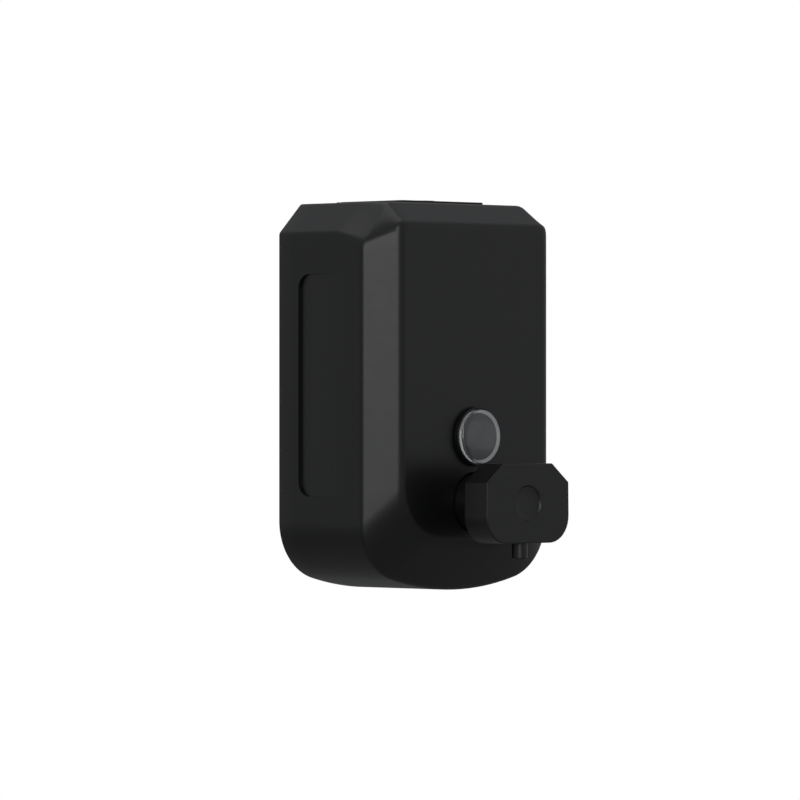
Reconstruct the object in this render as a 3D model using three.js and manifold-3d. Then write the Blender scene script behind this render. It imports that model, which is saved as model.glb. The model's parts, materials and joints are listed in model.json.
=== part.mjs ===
// A wall-mounted push-button soap dispenser, in millimetres, +Z up.
// The origin is the middle of the wall plate's back face. The wall is the plane y = 0 and the front faces -Y.
// Every piece is its own closed solid, so the dispenser comes apart as a real one does on a bench.
import * as THREE from "three";
import { mergeVertices } from "three/addons/utils/BufferGeometryUtils.js";
import Module from "manifold-3d";

// Container: the front view's outline, its depths and its sheet.
const HALF_WIDTH = 69.5;
const TOP = 103;
const BOTTOM = -103;
const TOP_CUT = 16; // the 45 degree cut of each top corner, at the rear
const TOP_ROUND = 22.5; // the round the cut has become where the front bevel starts
const ROUND_FULLNESS = 0.84; // 1 is a circle's arc, and less is fuller
const CUT_END = 12; // the straight cut runs this far from the wall
const CORNER_RADIUS = 32; // bottom corners
const BOW_RADIUS = 180; // bottom edge
const WALL_GAP = 0.5; // between the container's rear edge and the wall
const SIDE_DEPTH = 63.8; // wall plane to where the front bevel starts
const DEPTH = 79; // wall plane to the front face
const SHEET = 1.5;
const FRONT = -DEPTH;

// Front face: how far it stands inside the outline.
const FRONT_SIDE_INSET = 15.2;
const FRONT_TOP_INSET = 11.7;
const FRONT_BOTTOM_INSET = 25;
const FRONT_CORNER_RADIUS = 30;
const FRONT_BOW_RADIUS = 200;
const FRONT_TOP_ROUND = 2;

// Side recess: a ramp pressed into each side, deepest at its rear end.
const RECESS_REAR = 15.7;
const RECESS_FRONT = 53;
const RECESS_DEPTH = 1.8;
const RECESS_BOTTOM = BOTTOM + 50;
const RECESS_TOP = BOTTOM + 168;
const RECESS_CORNER = 8;

// Back panel, wall plate, hanger and the screw that holds the container down.
const PANEL_BACK = 7.8;
const PANEL_THICKNESS = 1.5;
const PLATE_THICKNESS = 2;
const PLATE_HALF_WIDTH = 50;
const PLATE_HALF_HEIGHT = 75;
const SCREW_HOLE_RADIUS = 2.75;
const SCREW_HOLE_X = 34;
const SCREW_HOLE_Z = 55;
const HOOK_X = 26;
const HOOK_HALF_WIDTH = 9;
const HOOK_Z = 60;
const TAB_HALF_WIDTH = 12;
const TAB_Z = -95.5;
const RETAINING_Y = -4.6;
const SCREW_HEAD_RADIUS = 3.4;
const SCREW_HEAD_Z = BOTTOM + 0.25;

// Filler mouth, lid and hinge.
const MOUTH_HALF_WIDTH = 25;
const MOUTH_REAR = 12;
const MOUTH_FRONT = 50;
const MOUTH_CORNER = 6;
const LID_HALF_WIDTH = 30.75;
const LID_FRONT = 55;
const LID_REAR = 7.3;
const LID_GAP = 0.3;
const LID_SHEET = 1.1;
const LID_TOP = TOP + LID_GAP + LID_SHEET;
const KNUCKLE_RADIUS = 2.1;
const KNUCKLE_SPLIT = 14.3;
const KNUCKLE_END = 30;
const PIN_RADIUS = 1;
const HINGE_Y = -4.6;
const HINGE_Z = LID_TOP - KNUCKLE_RADIUS;
const NOTCH_HALF_WIDTH = 31.5;
const NOTCH_DEPTH = 7.7;

// Lid lock.
const LOCK_Y = -38;
const BARREL_RADIUS = 6;
const CAM_LENGTH = 17;
const CAM_HALF_WIDTH = 4;

// Sight glass, on the front face.
const SIGHT_Z = BOTTOM + 81.8;
const BEZEL_RADIUS = 15.8;
const BEZEL_FRONT = FRONT - 3;
const BARREL_BORE = 11.5;
const BARREL_OUTSIDE = 12.6;
const LENS_RADIUS = 14.6;
const LENS_FRONT = FRONT - 7.2;

// Pump, on one axis that runs along Y.
const PUMP_Z = BOTTOM + 46.7;
const SKIRT_RADIUS = 15.6;
const SKIRT_HOLE_RADIUS = 16.5;
const FLANGE_RADIUS = 18.9;
const EAR_X = 24;
const CYLINDER_BORE = 7;
const CYLINDER_OUTSIDE = 9.5;
const STEM_RADIUS = 4.5;
const DUCT_RADIUS = 1.8;
const SPRING_RADIUS = 5.3;
const SPRING_WIRE = 0.45;
const SPRING_TURNS = 7;

// Inlet, at the pump's rear end.
const INLET_Y = -16.6;
const INLET_RADIUS = 5.5;
const INLET_BORE = 3.6;
const INLET_END = -93;
const BALL_RADIUS = 3;
const BALL_Z = -86.3;

// Button and nozzle.
const BUTTON_REAR = FRONT - 22.9;
const BUTTON_FRONT = FRONT - 39.6;
const BUTTON_HALF_WIDTH = 31.1;
const BUTTON_HALF_HEIGHT = 21;
const BUTTON_CUT_X = 12.4;
const BUTTON_CUT_Z = 10;
const BUTTON_CORNER = 15;
const BUTTON_FLARE = 0.4;
const BUTTON_WALL = 2.6;
const BUTTON_FACE_WALL = 4.2;
const DIMPLE_RADIUS = 9.75;
const DIMPLE_DEPTH = 1.6;
const NOZZLE_Y = BUTTON_FRONT + 6.4;
const NOZZLE_RADIUS = 4.15;
const NOZZLE_END = PUMP_Z - BUTTON_HALF_HEIGHT - 8.5;

const COARSE = 20; // sides of small round pieces
const FINE = 40; // sides of large round pieces
const CORNER_STEPS = 7; // in each top corner of the container

const wasm = await Module();
wasm.setup();

// ---- Solids from three.js geometry ----

// A closed geometry as a solid that cuts and joins.
function solid(geometry) {
  const bare = new THREE.BufferGeometry();
  bare.setAttribute("position", geometry.getAttribute("position"));
  bare.setIndex(geometry.getIndex());
  const merged = mergeVertices(bare, 1e-4);
  const vertProperties = merged.attributes.position.array;
  const triVerts = new Uint32Array(merged.index.array);
  return new wasm.Manifold(new wasm.Mesh({ numProp: 3, vertProperties, triVerts }));
}

// The geometry that draws a solid.
function geometryOf(piece) {
  const mesh = piece.getMesh();
  const geometry = new THREE.BufferGeometry();
  geometry.setAttribute("position", new THREE.BufferAttribute(mesh.vertProperties, 3));
  geometry.setIndex(new THREE.BufferAttribute(mesh.triVerts, 1));
  geometry.computeVertexNormals();
  return geometry;
}

function union(...pieces) {
  return pieces.reduce((whole, piece) => whole.add(piece));
}

function cut(piece, ...tools) {
  return tools.reduce((rest, tool) => rest.subtract(tool), piece);
}

// A box between two corners.
function box(low, high) {
  const geometry = new THREE.BoxGeometry(high[0] - low[0], high[1] - low[1], high[2] - low[2]);
  geometry.translate((low[0] + high[0]) / 2, (low[1] + high[1]) / 2, (low[2] + high[2]) / 2);
  return solid(geometry);
}

function extruded(shape, depth, curveSegments = 8) {
  return new THREE.ExtrudeGeometry(shape, { depth, bevelEnabled: false, curveSegments });
}

// A shape drawn in X and Z, filled between two places along Y.
function alongY(shape, y0, y1, curveSegments) {
  const geometry = extruded(shape, y1 - y0, curveSegments);
  geometry.rotateX(Math.PI / 2);
  geometry.translate(0, y1, 0);
  return solid(geometry);
}

// A shape drawn in X and Y, filled between two heights.
function alongZ(shape, z0, z1, curveSegments) {
  const geometry = extruded(shape, z1 - z0, curveSegments);
  geometry.translate(0, 0, z0);
  return solid(geometry);
}

// A shape drawn in Y and Z, filled between two places along X.
function alongX(shape, x0, x1, curveSegments) {
  const [x, y, z] = [new THREE.Vector3(1, 0, 0), new THREE.Vector3(0, 1, 0), new THREE.Vector3(0, 0, 1)];
  const geometry = extruded(shape, x1 - x0, curveSegments);
  geometry.applyMatrix4(new THREE.Matrix4().makeBasis(y, z, x));
  geometry.translate(x0, 0, 0);
  return solid(geometry);
}

// A closed profile of (radius, y) turned about a line along Y through (x, z).
function turnedY(profile, x, z, sides = COARSE) {
  const points = [...profile, profile[0]].map(([r, h]) => new THREE.Vector2(r, h));
  const geometry = new THREE.LatheGeometry(points, sides);
  geometry.translate(x, 0, z);
  return solid(geometry);
}

// A closed profile of (radius, z) turned about a line along Z through (x, y).
function turnedZ(profile, x, y, sides = COARSE) {
  const points = [...profile, profile[0]].map(([r, h]) => new THREE.Vector2(r, h));
  const geometry = new THREE.LatheGeometry(points, sides);
  geometry.rotateX(Math.PI / 2);
  geometry.translate(x, y, 0);
  return solid(geometry);
}

// The profile of a disc or a ring.
function ringProfile(inner, outer, h0, h1) {
  return [[inner, h0], [outer, h0], [outer, h1], [inner, h1]];
}

function discY(radius, y0, y1, x, z, sides) {
  return turnedY(ringProfile(0, radius, y0, y1), x, z, sides);
}

function discZ(radius, z0, z1, x, y, sides) {
  return turnedZ(ringProfile(0, radius, z0, z1), x, y, sides);
}

function discX(radius, x0, x1, y, z, sides = COARSE) {
  const shape = new THREE.Shape();
  shape.absarc(y, z, radius, 0, 2 * Math.PI);
  return alongX(shape, x0, x1, sides / 2);
}

// A rectangle with round corners, as a shape.
function roundedRectangle(left, low, right, high, radius) {
  const shape = new THREE.Shape();
  shape.moveTo(left + radius, low);
  shape.lineTo(right - radius, low);
  shape.absarc(right - radius, low + radius, radius, -Math.PI / 2, 0);
  shape.lineTo(right, high - radius);
  shape.absarc(right - radius, high - radius, radius, 0, Math.PI / 2);
  shape.lineTo(left + radius, high);
  shape.absarc(left + radius, high - radius, radius, Math.PI / 2, Math.PI);
  shape.lineTo(left, low + radius);
  shape.absarc(left + radius, low + radius, radius, Math.PI, 1.5 * Math.PI);
  return shape;
}

function polygon(points) {
  return new THREE.Shape(points.map(([a, b]) => new THREE.Vector2(a, b)));
}

// ---- Container ----

// A top corner's points, each as its distances in from the side and down from the top, going from the side up
// to the top. The first is a straight cut and the second is round.
function cutCorner(size) {
  const steps = CORNER_STEPS;
  return Array.from({ length: steps + 1 }, (_, i) => [size * (i / steps), size * (1 - i / steps)]);
}

function roundCorner(radius) {
  return Array.from({ length: CORNER_STEPS + 1 }, (_, i) => {
    const a = (Math.PI / 2) * (i / CORNER_STEPS);
    const along = (part) => radius * (1 - Math.abs(part) ** ROUND_FULLNESS);
    return [along(Math.cos(a)), along(Math.sin(a))];
  });
}

// The front view's outline, going round from the lower left: a corner arc, the bowed bottom's arc and the
// other corner arc, each tangent to the next, then the two top corners.
function outlinePoints({ half, top, bottom, topCorner, corner, bow }) {
  const cornerX = half - corner;
  const bowZ = bottom + bow;
  const cornerZ = bowZ - Math.sqrt((bow - corner) ** 2 - cornerX ** 2);
  const tilt = Math.asin(cornerX / (bow - corner));
  const points = [];
  const steps = 9;
  for (let i = 0; i <= steps; i += 1) {
    const a = (Math.PI / 2 - tilt) * (i / steps);
    points.push([-cornerX - corner * Math.cos(a), cornerZ - corner * Math.sin(a)]);
  }
  for (let i = 1; i < steps; i += 1) {
    const a = tilt * (2 * (i / steps) - 1);
    points.push([bow * Math.sin(a), bowZ - bow * Math.cos(a)]);
  }
  for (let i = steps; i >= 0; i -= 1) {
    const a = (Math.PI / 2 - tilt) * (i / steps);
    points.push([cornerX + corner * Math.cos(a), cornerZ - corner * Math.sin(a)]);
  }
  for (const [across, down] of topCorner) points.push([half - across, top - down]);
  for (const [across, down] of topCorner.toReversed()) points.push([across - half, top - down]);
  return points;
}

// The outline at the sides, near the wall and where the bevel starts, and at the front face, each moved in by
// a distance.
function sideOutline(inward, topCorner) {
  return outlinePoints({
    half: HALF_WIDTH - inward,
    top: TOP - inward,
    bottom: BOTTOM + inward,
    topCorner,
    corner: CORNER_RADIUS - inward,
    bow: BOW_RADIUS - inward,
  });
}

function rearOutline(inward) {
  return sideOutline(inward, cutCorner(TOP_CUT - inward * (2 - Math.SQRT2)));
}

function bevelOutline(inward) {
  return sideOutline(inward, roundCorner(TOP_ROUND - inward));
}

function frontOutline(inward) {
  return outlinePoints({
    half: HALF_WIDTH - FRONT_SIDE_INSET - inward,
    top: TOP - FRONT_TOP_INSET - inward,
    bottom: BOTTOM + FRONT_BOTTOM_INSET + inward,
    topCorner: roundCorner(FRONT_TOP_ROUND),
    corner: FRONT_CORNER_RADIUS - inward,
    bow: FRONT_BOW_RADIUS - inward,
  });
}

// A closed skin through outlines of equal count, one behind the other along -Y.
function lofted(sections) {
  const count = sections[0].points.length;
  const positions = sections.flatMap(({ y, points }) => points.flatMap(([x, z]) => [x, y, z]));
  const index = [];
  for (let k = 0; k + 1 < sections.length; k += 1) {
    for (let i = 0; i < count; i += 1) {
      const j = (i + 1) % count;
      const [a, b, c, d] = [k * count + i, k * count + j, (k + 1) * count + j, (k + 1) * count + i];
      index.push(a, b, d, b, c, d);
    }
  }
  const last = (sections.length - 1) * count;
  for (let i = 1; i + 1 < count; i += 1) index.push(0, i + 1, i, last, last + i, last + i + 1);
  const geometry = new THREE.BufferGeometry();
  geometry.setAttribute("position", new THREE.Float32BufferAttribute(positions, 3));
  geometry.setIndex(index);
  return solid(geometry);
}

// The ramped recess of one side, grown by the sheet's thickness for the skin's inside.
function recess(side, grow) {
  const face = side * HALF_WIDTH;
  const depth = RECESS_DEPTH + grow;
  const outside = side * (HALF_WIDTH + 2);
  const ramp = polygon([
    [outside, -RECESS_REAR + grow],
    [face - side * depth, -RECESS_REAR + grow],
    [face - side * grow, -RECESS_FRONT - grow],
    [outside, -RECESS_FRONT - grow],
  ]);
  const wedge = alongZ(ramp, RECESS_BOTTOM - 10, RECESS_TOP + 10);
  const [y0, y1] = [-RECESS_FRONT - grow, -RECESS_REAR + grow];
  const [z0, z1] = [RECESS_BOTTOM - grow, RECESS_TOP + grow];
  const mask = roundedRectangle(y0, z0, y1, z1, RECESS_CORNER + grow);
  const reach = [outside, face - side * 8].sort((a, b) => a - b);
  return wedge.intersect(alongX(mask, ...reach, 5));
}

function mouth(grow, z0, z1) {
  const [x, y0, y1] = [MOUTH_HALF_WIDTH + grow, -MOUTH_FRONT - grow, -MOUTH_REAR + grow];
  return alongZ(roundedRectangle(-x, y0, x, y1, MOUTH_CORNER + grow), z0, z1, 5);
}

// The tool that makes room for the countersunk retaining screw.
function countersink() {
  const narrow = 2.4;
  const wide = narrow + 8;
  const z = SCREW_HEAD_Z + SCREW_HEAD_RADIUS + 0.42 - narrow;
  const profile = [[0, z - 8], [wide, z - 8], [narrow, z], [narrow, z + 8], [0, z + 8]];
  return turnedZ(profile, 0, RETAINING_Y, 16);
}

// The body: a bent and welded sheet, open at the back, with two welded studs for the pump.
function containerShell() {
  const turn = SHEET * (Math.SQRT2 - 1);
  const outside = lofted([
    { y: -WALL_GAP, points: rearOutline(0) },
    { y: -CUT_END, points: rearOutline(0) },
    { y: -SIDE_DEPTH, points: bevelOutline(0) },
    { y: FRONT, points: frontOutline(0) },
  ]);
  const inside = lofted([
    { y: 2, points: rearOutline(SHEET) },
    { y: -CUT_END, points: rearOutline(SHEET) },
    { y: -SIDE_DEPTH + turn, points: bevelOutline(SHEET) },
    { y: FRONT + SHEET, points: frontOutline(turn) },
  ]);
  const skin = cut(
    outside,
    recess(-1, 0),
    recess(1, 0),
    cut(inside, recess(-1, SHEET), recess(1, SHEET)),
    mouth(0, TOP - 5, TOP + 5),
    box([-NOTCH_HALF_WIDTH, -NOTCH_DEPTH, TOP - 5], [NOTCH_HALF_WIDTH, 5, TOP + 5]),
    discY(BARREL_OUTSIDE + 0.4, FRONT - 5, FRONT + 5, 0, SIGHT_Z, FINE),
    discY(SKIRT_HOLE_RADIUS, FRONT - 5, FRONT + 5, 0, PUMP_Z, FINE),
    countersink(),
  );
  const studs = [-1, 1].map((side) => discY(2, FRONT + SHEET / 2, FRONT + 10, side * EAR_X, PUMP_Z, 16));
  return union(skin, ...studs);
}

function backPanel() {
  const outline = rearOutline(SHEET + 0.3);
  return lofted([{ y: -PANEL_BACK, points: outline }, { y: -PANEL_BACK - PANEL_THICKNESS, points: outline }]);
}

// ---- Wall side ----

// An upturned hook: a short shelf out of the plate and a leg that stands up from its end.
function hook(x) {
  const side = polygon([
    [-PLATE_THICKNESS + 0.5, HOOK_Z],
    [-PLATE_THICKNESS + 0.5, HOOK_Z + 2],
    [-5.1, HOOK_Z + 2],
    [-5.1, HOOK_Z + 10],
    [-6.6, HOOK_Z + 10],
    [-6.6, HOOK_Z],
  ]);
  return alongX(side, x - HOOK_HALF_WIDTH, x + HOOK_HALF_WIDTH);
}

function wallPlate() {
  const [x, z] = [PLATE_HALF_WIDTH, PLATE_HALF_HEIGHT];
  const plate = alongY(roundedRectangle(-x, -z, x, z, 6), -PLATE_THICKNESS, 0, 4);
  const tongue = box([-TAB_HALF_WIDTH, -PLATE_THICKNESS, TAB_Z - 2], [TAB_HALF_WIDTH, 0, 1 - z]);
  const tab = box([-TAB_HALF_WIDTH, -7.2, TAB_Z - 2], [TAB_HALF_WIDTH, 0.5 - PLATE_THICKNESS, TAB_Z]);
  const holes = [];
  for (const across of [-SCREW_HOLE_X, SCREW_HOLE_X]) {
    for (const up of [-SCREW_HOLE_Z, SCREW_HOLE_Z]) {
      holes.push(discY(SCREW_HOLE_RADIUS, -5, 5, across, up, 16));
    }
  }
  holes.push(discZ(2.3, TAB_Z - 5, TAB_Z + 5, 0, RETAINING_Y, 16));
  return cut(union(plate, hook(-HOOK_X), hook(HOOK_X), tongue, tab), ...holes);
}

// A strip folded twice: a flange on the back panel, a web over the hooks, and a lip that drops behind them.
function hangerBracket() {
  const side = polygon([
    [-7.5, HOOK_Z + 11],
    [-7.5, HOOK_Z + 26],
    [-6.3, HOOK_Z + 26],
    [-6.3, HOOK_Z + 12.2],
    [-2.9, HOOK_Z + 12.2],
    [-2.9, HOOK_Z + 2.3],
    [-4.1, HOOK_Z + 2.3],
    [-4.1, HOOK_Z + 11],
  ]);
  return alongX(side, -HOOK_X - HOOK_HALF_WIDTH - 6, HOOK_X + HOOK_HALF_WIDTH + 6);
}

function retainingScrew() {
  const [head, shank] = [SCREW_HEAD_RADIUS, 2];
  const profile = [
    [0, SCREW_HEAD_Z],
    [head, SCREW_HEAD_Z],
    [shank, SCREW_HEAD_Z + head - shank],
    [shank, TAB_Z + 4],
    [0, TAB_Z + 4],
  ];
  const socket = discZ(1.2, SCREW_HEAD_Z - 1, SCREW_HEAD_Z + 1.6, 0, RETAINING_Y, 6);
  return cut(turnedZ(profile, 0, RETAINING_Y, 16), socket);
}

function retainingNut() {
  const hole = discZ(2.2, TAB_Z - 1, TAB_Z + 5, 0, RETAINING_Y, 16);
  const nut = box([-3.6, RETAINING_Y - 2.9, TAB_Z + 0.3], [3.6, RETAINING_Y + 2.4, TAB_Z + 3]);
  return cut(nut, hole);
}

// ---- Lid ----

function knuckle(x0, x1) {
  return discX(KNUCKLE_RADIUS, x0, x1, HINGE_Y, HINGE_Z);
}

function pinHole() {
  return discX(PIN_RADIUS + 0.15, -KNUCKLE_END - 5, KNUCKLE_END + 5, HINGE_Y, HINGE_Z, 16);
}

// The fixed leaf: a strip welded behind the back panel, with a knuckle at each end of its top edge.
function hingeLeaf() {
  const split = KNUCKLE_SPLIT + 0.3;
  const leaf = box([-KNUCKLE_END, -7.5, 86], [KNUCKLE_END, -6.3, HINGE_Z - 0.2]);
  const room = box([-split, -9, HINGE_Z - KNUCKLE_RADIUS - 0.4], [split, 0, TOP + 5]);
  const knuckles = union(knuckle(-KNUCKLE_END, -split), knuckle(split, KNUCKLE_END));
  return cut(union(cut(leaf, room), knuckles), pinHole());
}

function hingePin() {
  return discX(PIN_RADIUS, -KNUCKLE_END - 0.4, KNUCKLE_END + 0.4, HINGE_Y, HINGE_Z, 16);
}

function fillerLid() {
  const low = LID_TOP - LID_SHEET;
  const outline = roundedRectangle(-LID_HALF_WIDTH, -LID_FRONT, LID_HALF_WIDTH, -LID_REAR, 1.5);
  const sheet = alongZ(outline, low, LID_TOP, 4);
  const strap = box([-KNUCKLE_SPLIT, -LID_REAR - 1, low], [KNUCKLE_SPLIT, HINGE_Y, LID_TOP]);
  const lockHole = discZ(BARREL_RADIUS + 0.3, TOP - 5, TOP + 5, 0, LOCK_Y);
  return cut(union(sheet, strap, knuckle(-KNUCKLE_SPLIT, KNUCKLE_SPLIT)), pinHole(), lockHole);
}

function lidGasket() {
  const [z0, z1] = [TOP - 2.1, TOP + LID_GAP - 0.2];
  return cut(mouth(-0.4, z0, z1), mouth(-2.6, z0 - 1, z1 + 1));
}

// ---- Lid lock ----

function lockBarrel() {
  const low = 99.9;
  const profile = [
    [3.8, low],
    [BARREL_RADIUS, low],
    [BARREL_RADIUS, LID_TOP + 0.15],
    [7.6, LID_TOP + 0.15],
    [7.2, LID_TOP + 0.65],
    [3.8, LID_TOP + 0.65],
  ];
  return turnedZ(profile, 0, LOCK_Y, 32);
}

function lockNut() {
  const [z0, z1] = [TOP - 2.6, TOP];
  const bore = discZ(BARREL_RADIUS + 0.2, z0 - 1, z1 + 1, 0, LOCK_Y);
  return cut(discZ(8, z0, z1, 0, LOCK_Y, 6), bore);
}

// The turning plug, with a three-sided key socket in its head.
function lockPlug() {
  const head = LID_TOP + 0.5;
  const profile = [[0, 97.4], [2.3, 97.4], [2.3, 99.8], [3.6, 99.8], [3.6, head], [0, head]];
  const socket = discZ(2.2, LID_TOP - 2.5, LID_TOP + 2, 0, LOCK_Y, 3);
  const screwHole = discZ(1.5, 96, 101.2, 0, LOCK_Y, 12);
  return cut(turnedZ(profile, 0, LOCK_Y, 32), socket, screwHole);
}

// The cam lies along +X when unlocked, clear of the mouth's edge. Its raised end goes under the top when
// locked.
function lockCam() {
  const bar = box([-5, LOCK_Y - CAM_HALF_WIDTH, 97.7], [CAM_LENGTH, LOCK_Y + CAM_HALF_WIDTH, 99.5]);
  const raised = box([12.6, LOCK_Y - CAM_HALF_WIDTH, 99], [CAM_LENGTH, LOCK_Y + CAM_HALF_WIDTH, 100.6]);
  return cut(union(bar, raised), discZ(2.6, 96, 101, 0, LOCK_Y));
}

function camScrew() {
  const profile = [[0, 95], [3.2, 95], [3.8, 95.5], [3.8, 97.2], [1.2, 97.2], [1.2, 100.9], [0, 100.9]];
  return turnedZ(profile, 0, LOCK_Y, 16);
}

// ---- Sight glass ----

function sightBezel() {
  const profile = [
    [BARREL_BORE, FRONT + 9],
    [BARREL_BORE, FRONT - 1.5],
    [LENS_RADIUS + 0.2, FRONT - 1.5],
    [LENS_RADIUS + 0.2, BEZEL_FRONT],
    [BEZEL_RADIUS - 0.4, BEZEL_FRONT],
    [BEZEL_RADIUS, BEZEL_FRONT + 0.4],
    [BEZEL_RADIUS, FRONT - 0.8],
    [BARREL_OUTSIDE, FRONT - 0.8],
    [BARREL_OUTSIDE, FRONT + 9],
  ];
  return turnedY(profile, 0, SIGHT_Z, FINE);
}

function sightGasket() {
  const profile = ringProfile(BARREL_OUTSIDE + 0.4, BEZEL_RADIUS - 0.3, FRONT - 0.6, FRONT - 0.2);
  return turnedY(profile, 0, SIGHT_Z, FINE);
}

function lensORing() {
  const profile = ringProfile(BARREL_BORE + 0.7, LENS_RADIUS - 0.3, FRONT - 2.3, FRONT - 1.7);
  return turnedY(profile, 0, SIGHT_Z, FINE);
}

// A clear disc with a steep round shoulder and a shallow crown.
function sightLens() {
  const rear = FRONT - 2.5;
  const rim = LENS_RADIUS - 0.2;
  const profile = [[0, LENS_FRONT]];
  for (let i = 1; i <= 8; i += 1) {
    const a = (Math.PI / 2) * (i / 8);
    profile.push([rim * Math.sin(a) ** 0.75, rear - 1.5 - (rear - 1.5 - LENS_FRONT) * Math.cos(a) ** 0.75]);
  }
  profile[profile.length - 1] = [rim, rear - 1.5];
  profile.push([rim, rear], [0, rear]);
  return turnedY(profile, 0, SIGHT_Z, FINE);
}

function sightNut() {
  const flat = 14.1;
  const corner = flat / Math.cos(Math.PI / 6);
  const profile = ringProfile(0, corner, FRONT + SHEET + 0.3, FRONT + SHEET + 4.8);
  const points = [...profile, profile[0]].map(([r, h]) => new THREE.Vector2(r, h));
  const hex = new THREE.LatheGeometry(points, 6, Math.PI / 2);
  hex.translate(0, 0, SIGHT_Z);
  return cut(solid(hex), discY(BARREL_OUTSIDE + 0.2, FRONT, FRONT + 10, 0, SIGHT_Z, FINE));
}

// ---- Pump ----

// The valve flange's outline: a disc with an ear at each side, with its stud holes.
function flange(y0, y1, bore) {
  const [x, z] = [EAR_X + 5.5, 5.5];
  const ears = alongY(roundedRectangle(-x, PUMP_Z - z, x, PUMP_Z + z, 5.4), y0, y1, 5);
  const disc = discY(FLANGE_RADIUS, y0, y1, 0, PUMP_Z, FINE);
  const holes = [-1, 1].map((side) => discY(2.3, y0 - 1, y1 + 1, side * EAR_X, PUMP_Z, 16));
  return cut(union(disc, ears), discY(bore, y0 - 1, y1 + 1, 0, PUMP_Z, FINE), ...holes);
}

// A cup that the button's skirt slides into, with the pump cylinder behind its floor.
function valveBody() {
  const front = FRONT + SHEET + 0.9;
  const profile = [
    [SKIRT_HOLE_RADIUS + 1.3, front],
    [SKIRT_HOLE_RADIUS + 1.3, front + 1.5],
    [SKIRT_HOLE_RADIUS, front + 1.5],
    [SKIRT_HOLE_RADIUS, -60],
    [STEM_RADIUS + 0.3, -60],
    [STEM_RADIUS + 0.3, -56],
    [CYLINDER_BORE, -56],
    [CYLINDER_BORE, -26],
    [CYLINDER_OUTSIDE, -26],
    [CYLINDER_OUTSIDE, -58],
    [FLANGE_RADIUS - 0.2, -58],
    [FLANGE_RADIUS - 0.2, front],
  ].reverse();
  const cup = turnedY(profile, 0, PUMP_Z, FINE);
  return union(cup, flange(front, front + 2, SKIRT_HOLE_RADIUS + 1.3));
}

function skirtWiper() {
  const front = FRONT + SHEET + 0.9;
  const profile = ringProfile(SKIRT_RADIUS + 0.2, SKIRT_HOLE_RADIUS + 1.1, front + 0.2, front + 1.3);
  return turnedY(profile, 0, PUMP_Z, FINE);
}

function valveGasket() {
  return flange(FRONT + SHEET + 0.2, FRONT + SHEET + 0.7, SKIRT_HOLE_RADIUS + 0.3);
}

function valveNut(side) {
  const [y0, y1] = [FRONT + SHEET + 3.2, FRONT + SHEET + 6.4];
  const hole = discY(2.2, y0 - 1, y1 + 1, side * EAR_X, PUMP_Z, 16);
  return cut(discY(4, y0, y1, side * EAR_X, PUMP_Z, 6), hole);
}

// The cylinder's screw cap, with an inlet tube that turns down towards the bottom of the container.
function inletElbow() {
  const capEnd = -22.6;
  const cap = discY(11.6, -34, capEnd, 0, PUMP_Z, 32);
  const thread = discY(CYLINDER_OUTSIDE + 0.3, -35, -25.7, 0, PUMP_Z, 32);
  const neck = discY(INLET_RADIUS, capEnd - 1, INLET_Y, 0, PUMP_Z);
  const tube = discZ(INLET_RADIUS, INLET_END, PUMP_Z + INLET_RADIUS, 0, INLET_Y);
  const passage = discY(2.5, -30, INLET_Y, 0, PUMP_Z, 16);
  const riser = discZ(2.5, INLET_END, PUMP_Z, 0, INLET_Y, 16);
  const chamber = discZ(INLET_BORE, INLET_END - 1, -81.2, 0, INLET_Y);
  const slot = box([-3.4, INLET_Y - 0.8, -84], [3.4, INLET_Y + 0.8, -78]);
  return cut(union(cap, neck, tube), thread, passage, riser, chamber, slot);
}

function inletSeat() {
  return turnedZ(ringProfile(1.8, INLET_BORE - 0.2, INLET_END, INLET_END + 4), 0, INLET_Y);
}

function inletBall() {
  const geometry = new THREE.SphereGeometry(BALL_RADIUS, 20, 12);
  geometry.translate(0, INLET_Y, BALL_Z);
  return solid(geometry);
}

// The return spring's centre line.
class Helix extends THREE.Curve {
  getPoint(t, target = new THREE.Vector3()) {
    const a = 2 * Math.PI * SPRING_TURNS * t;
    const y = THREE.MathUtils.lerp(-49, -26.4, t);
    return target.set(SPRING_RADIUS * Math.cos(a), y, PUMP_Z + SPRING_RADIUS * Math.sin(a));
  }
}

function returnSpring() {
  const section = new THREE.Shape();
  section.absarc(0, 0, SPRING_WIRE, 0, 2 * Math.PI);
  const path = { extrudePath: new Helix(), steps: SPRING_TURNS * 10 };
  return solid(new THREE.ExtrudeGeometry(section, { ...path, curveSegments: 3, bevelEnabled: false }));
}

// ---- Moving pump pieces ----

// Skirt and hollow stem in one moulding. Its front boss plugs into the button.
function plunger() {
  const rear = BUTTON_REAR + 0.3;
  const profile = [
    [DUCT_RADIUS, rear - 4.5],
    [6, rear - 4.5],
    [6, rear],
    [SKIRT_RADIUS, rear],
    [SKIRT_RADIUS, FRONT + 5],
    [SKIRT_RADIUS - 2, FRONT + 5],
    [SKIRT_RADIUS - 2, rear + 2.5],
    [STEM_RADIUS, rear + 2.5],
    [STEM_RADIUS, -56.3],
    [3, -56.3],
    [3, -49.7],
    [DUCT_RADIUS, -49.7],
  ];
  return turnedY(profile, 0, PUMP_Z, FINE);
}

function piston() {
  const profile = [
    [3.3, -55.6],
    [6.6, -55.6],
    [6.6, -54.2],
    [5.3, -54.2],
    [5.3, -52.2],
    [6.6, -52.2],
    [6.6, -50],
    [3.3, -50],
  ];
  return turnedY(profile, 0, PUMP_Z, 32);
}

function pistonSeal() {
  return turnedY(ringProfile(5.5, CYLINDER_BORE - 0.15, -54, -52.4), 0, PUMP_Z, 32);
}

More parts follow.
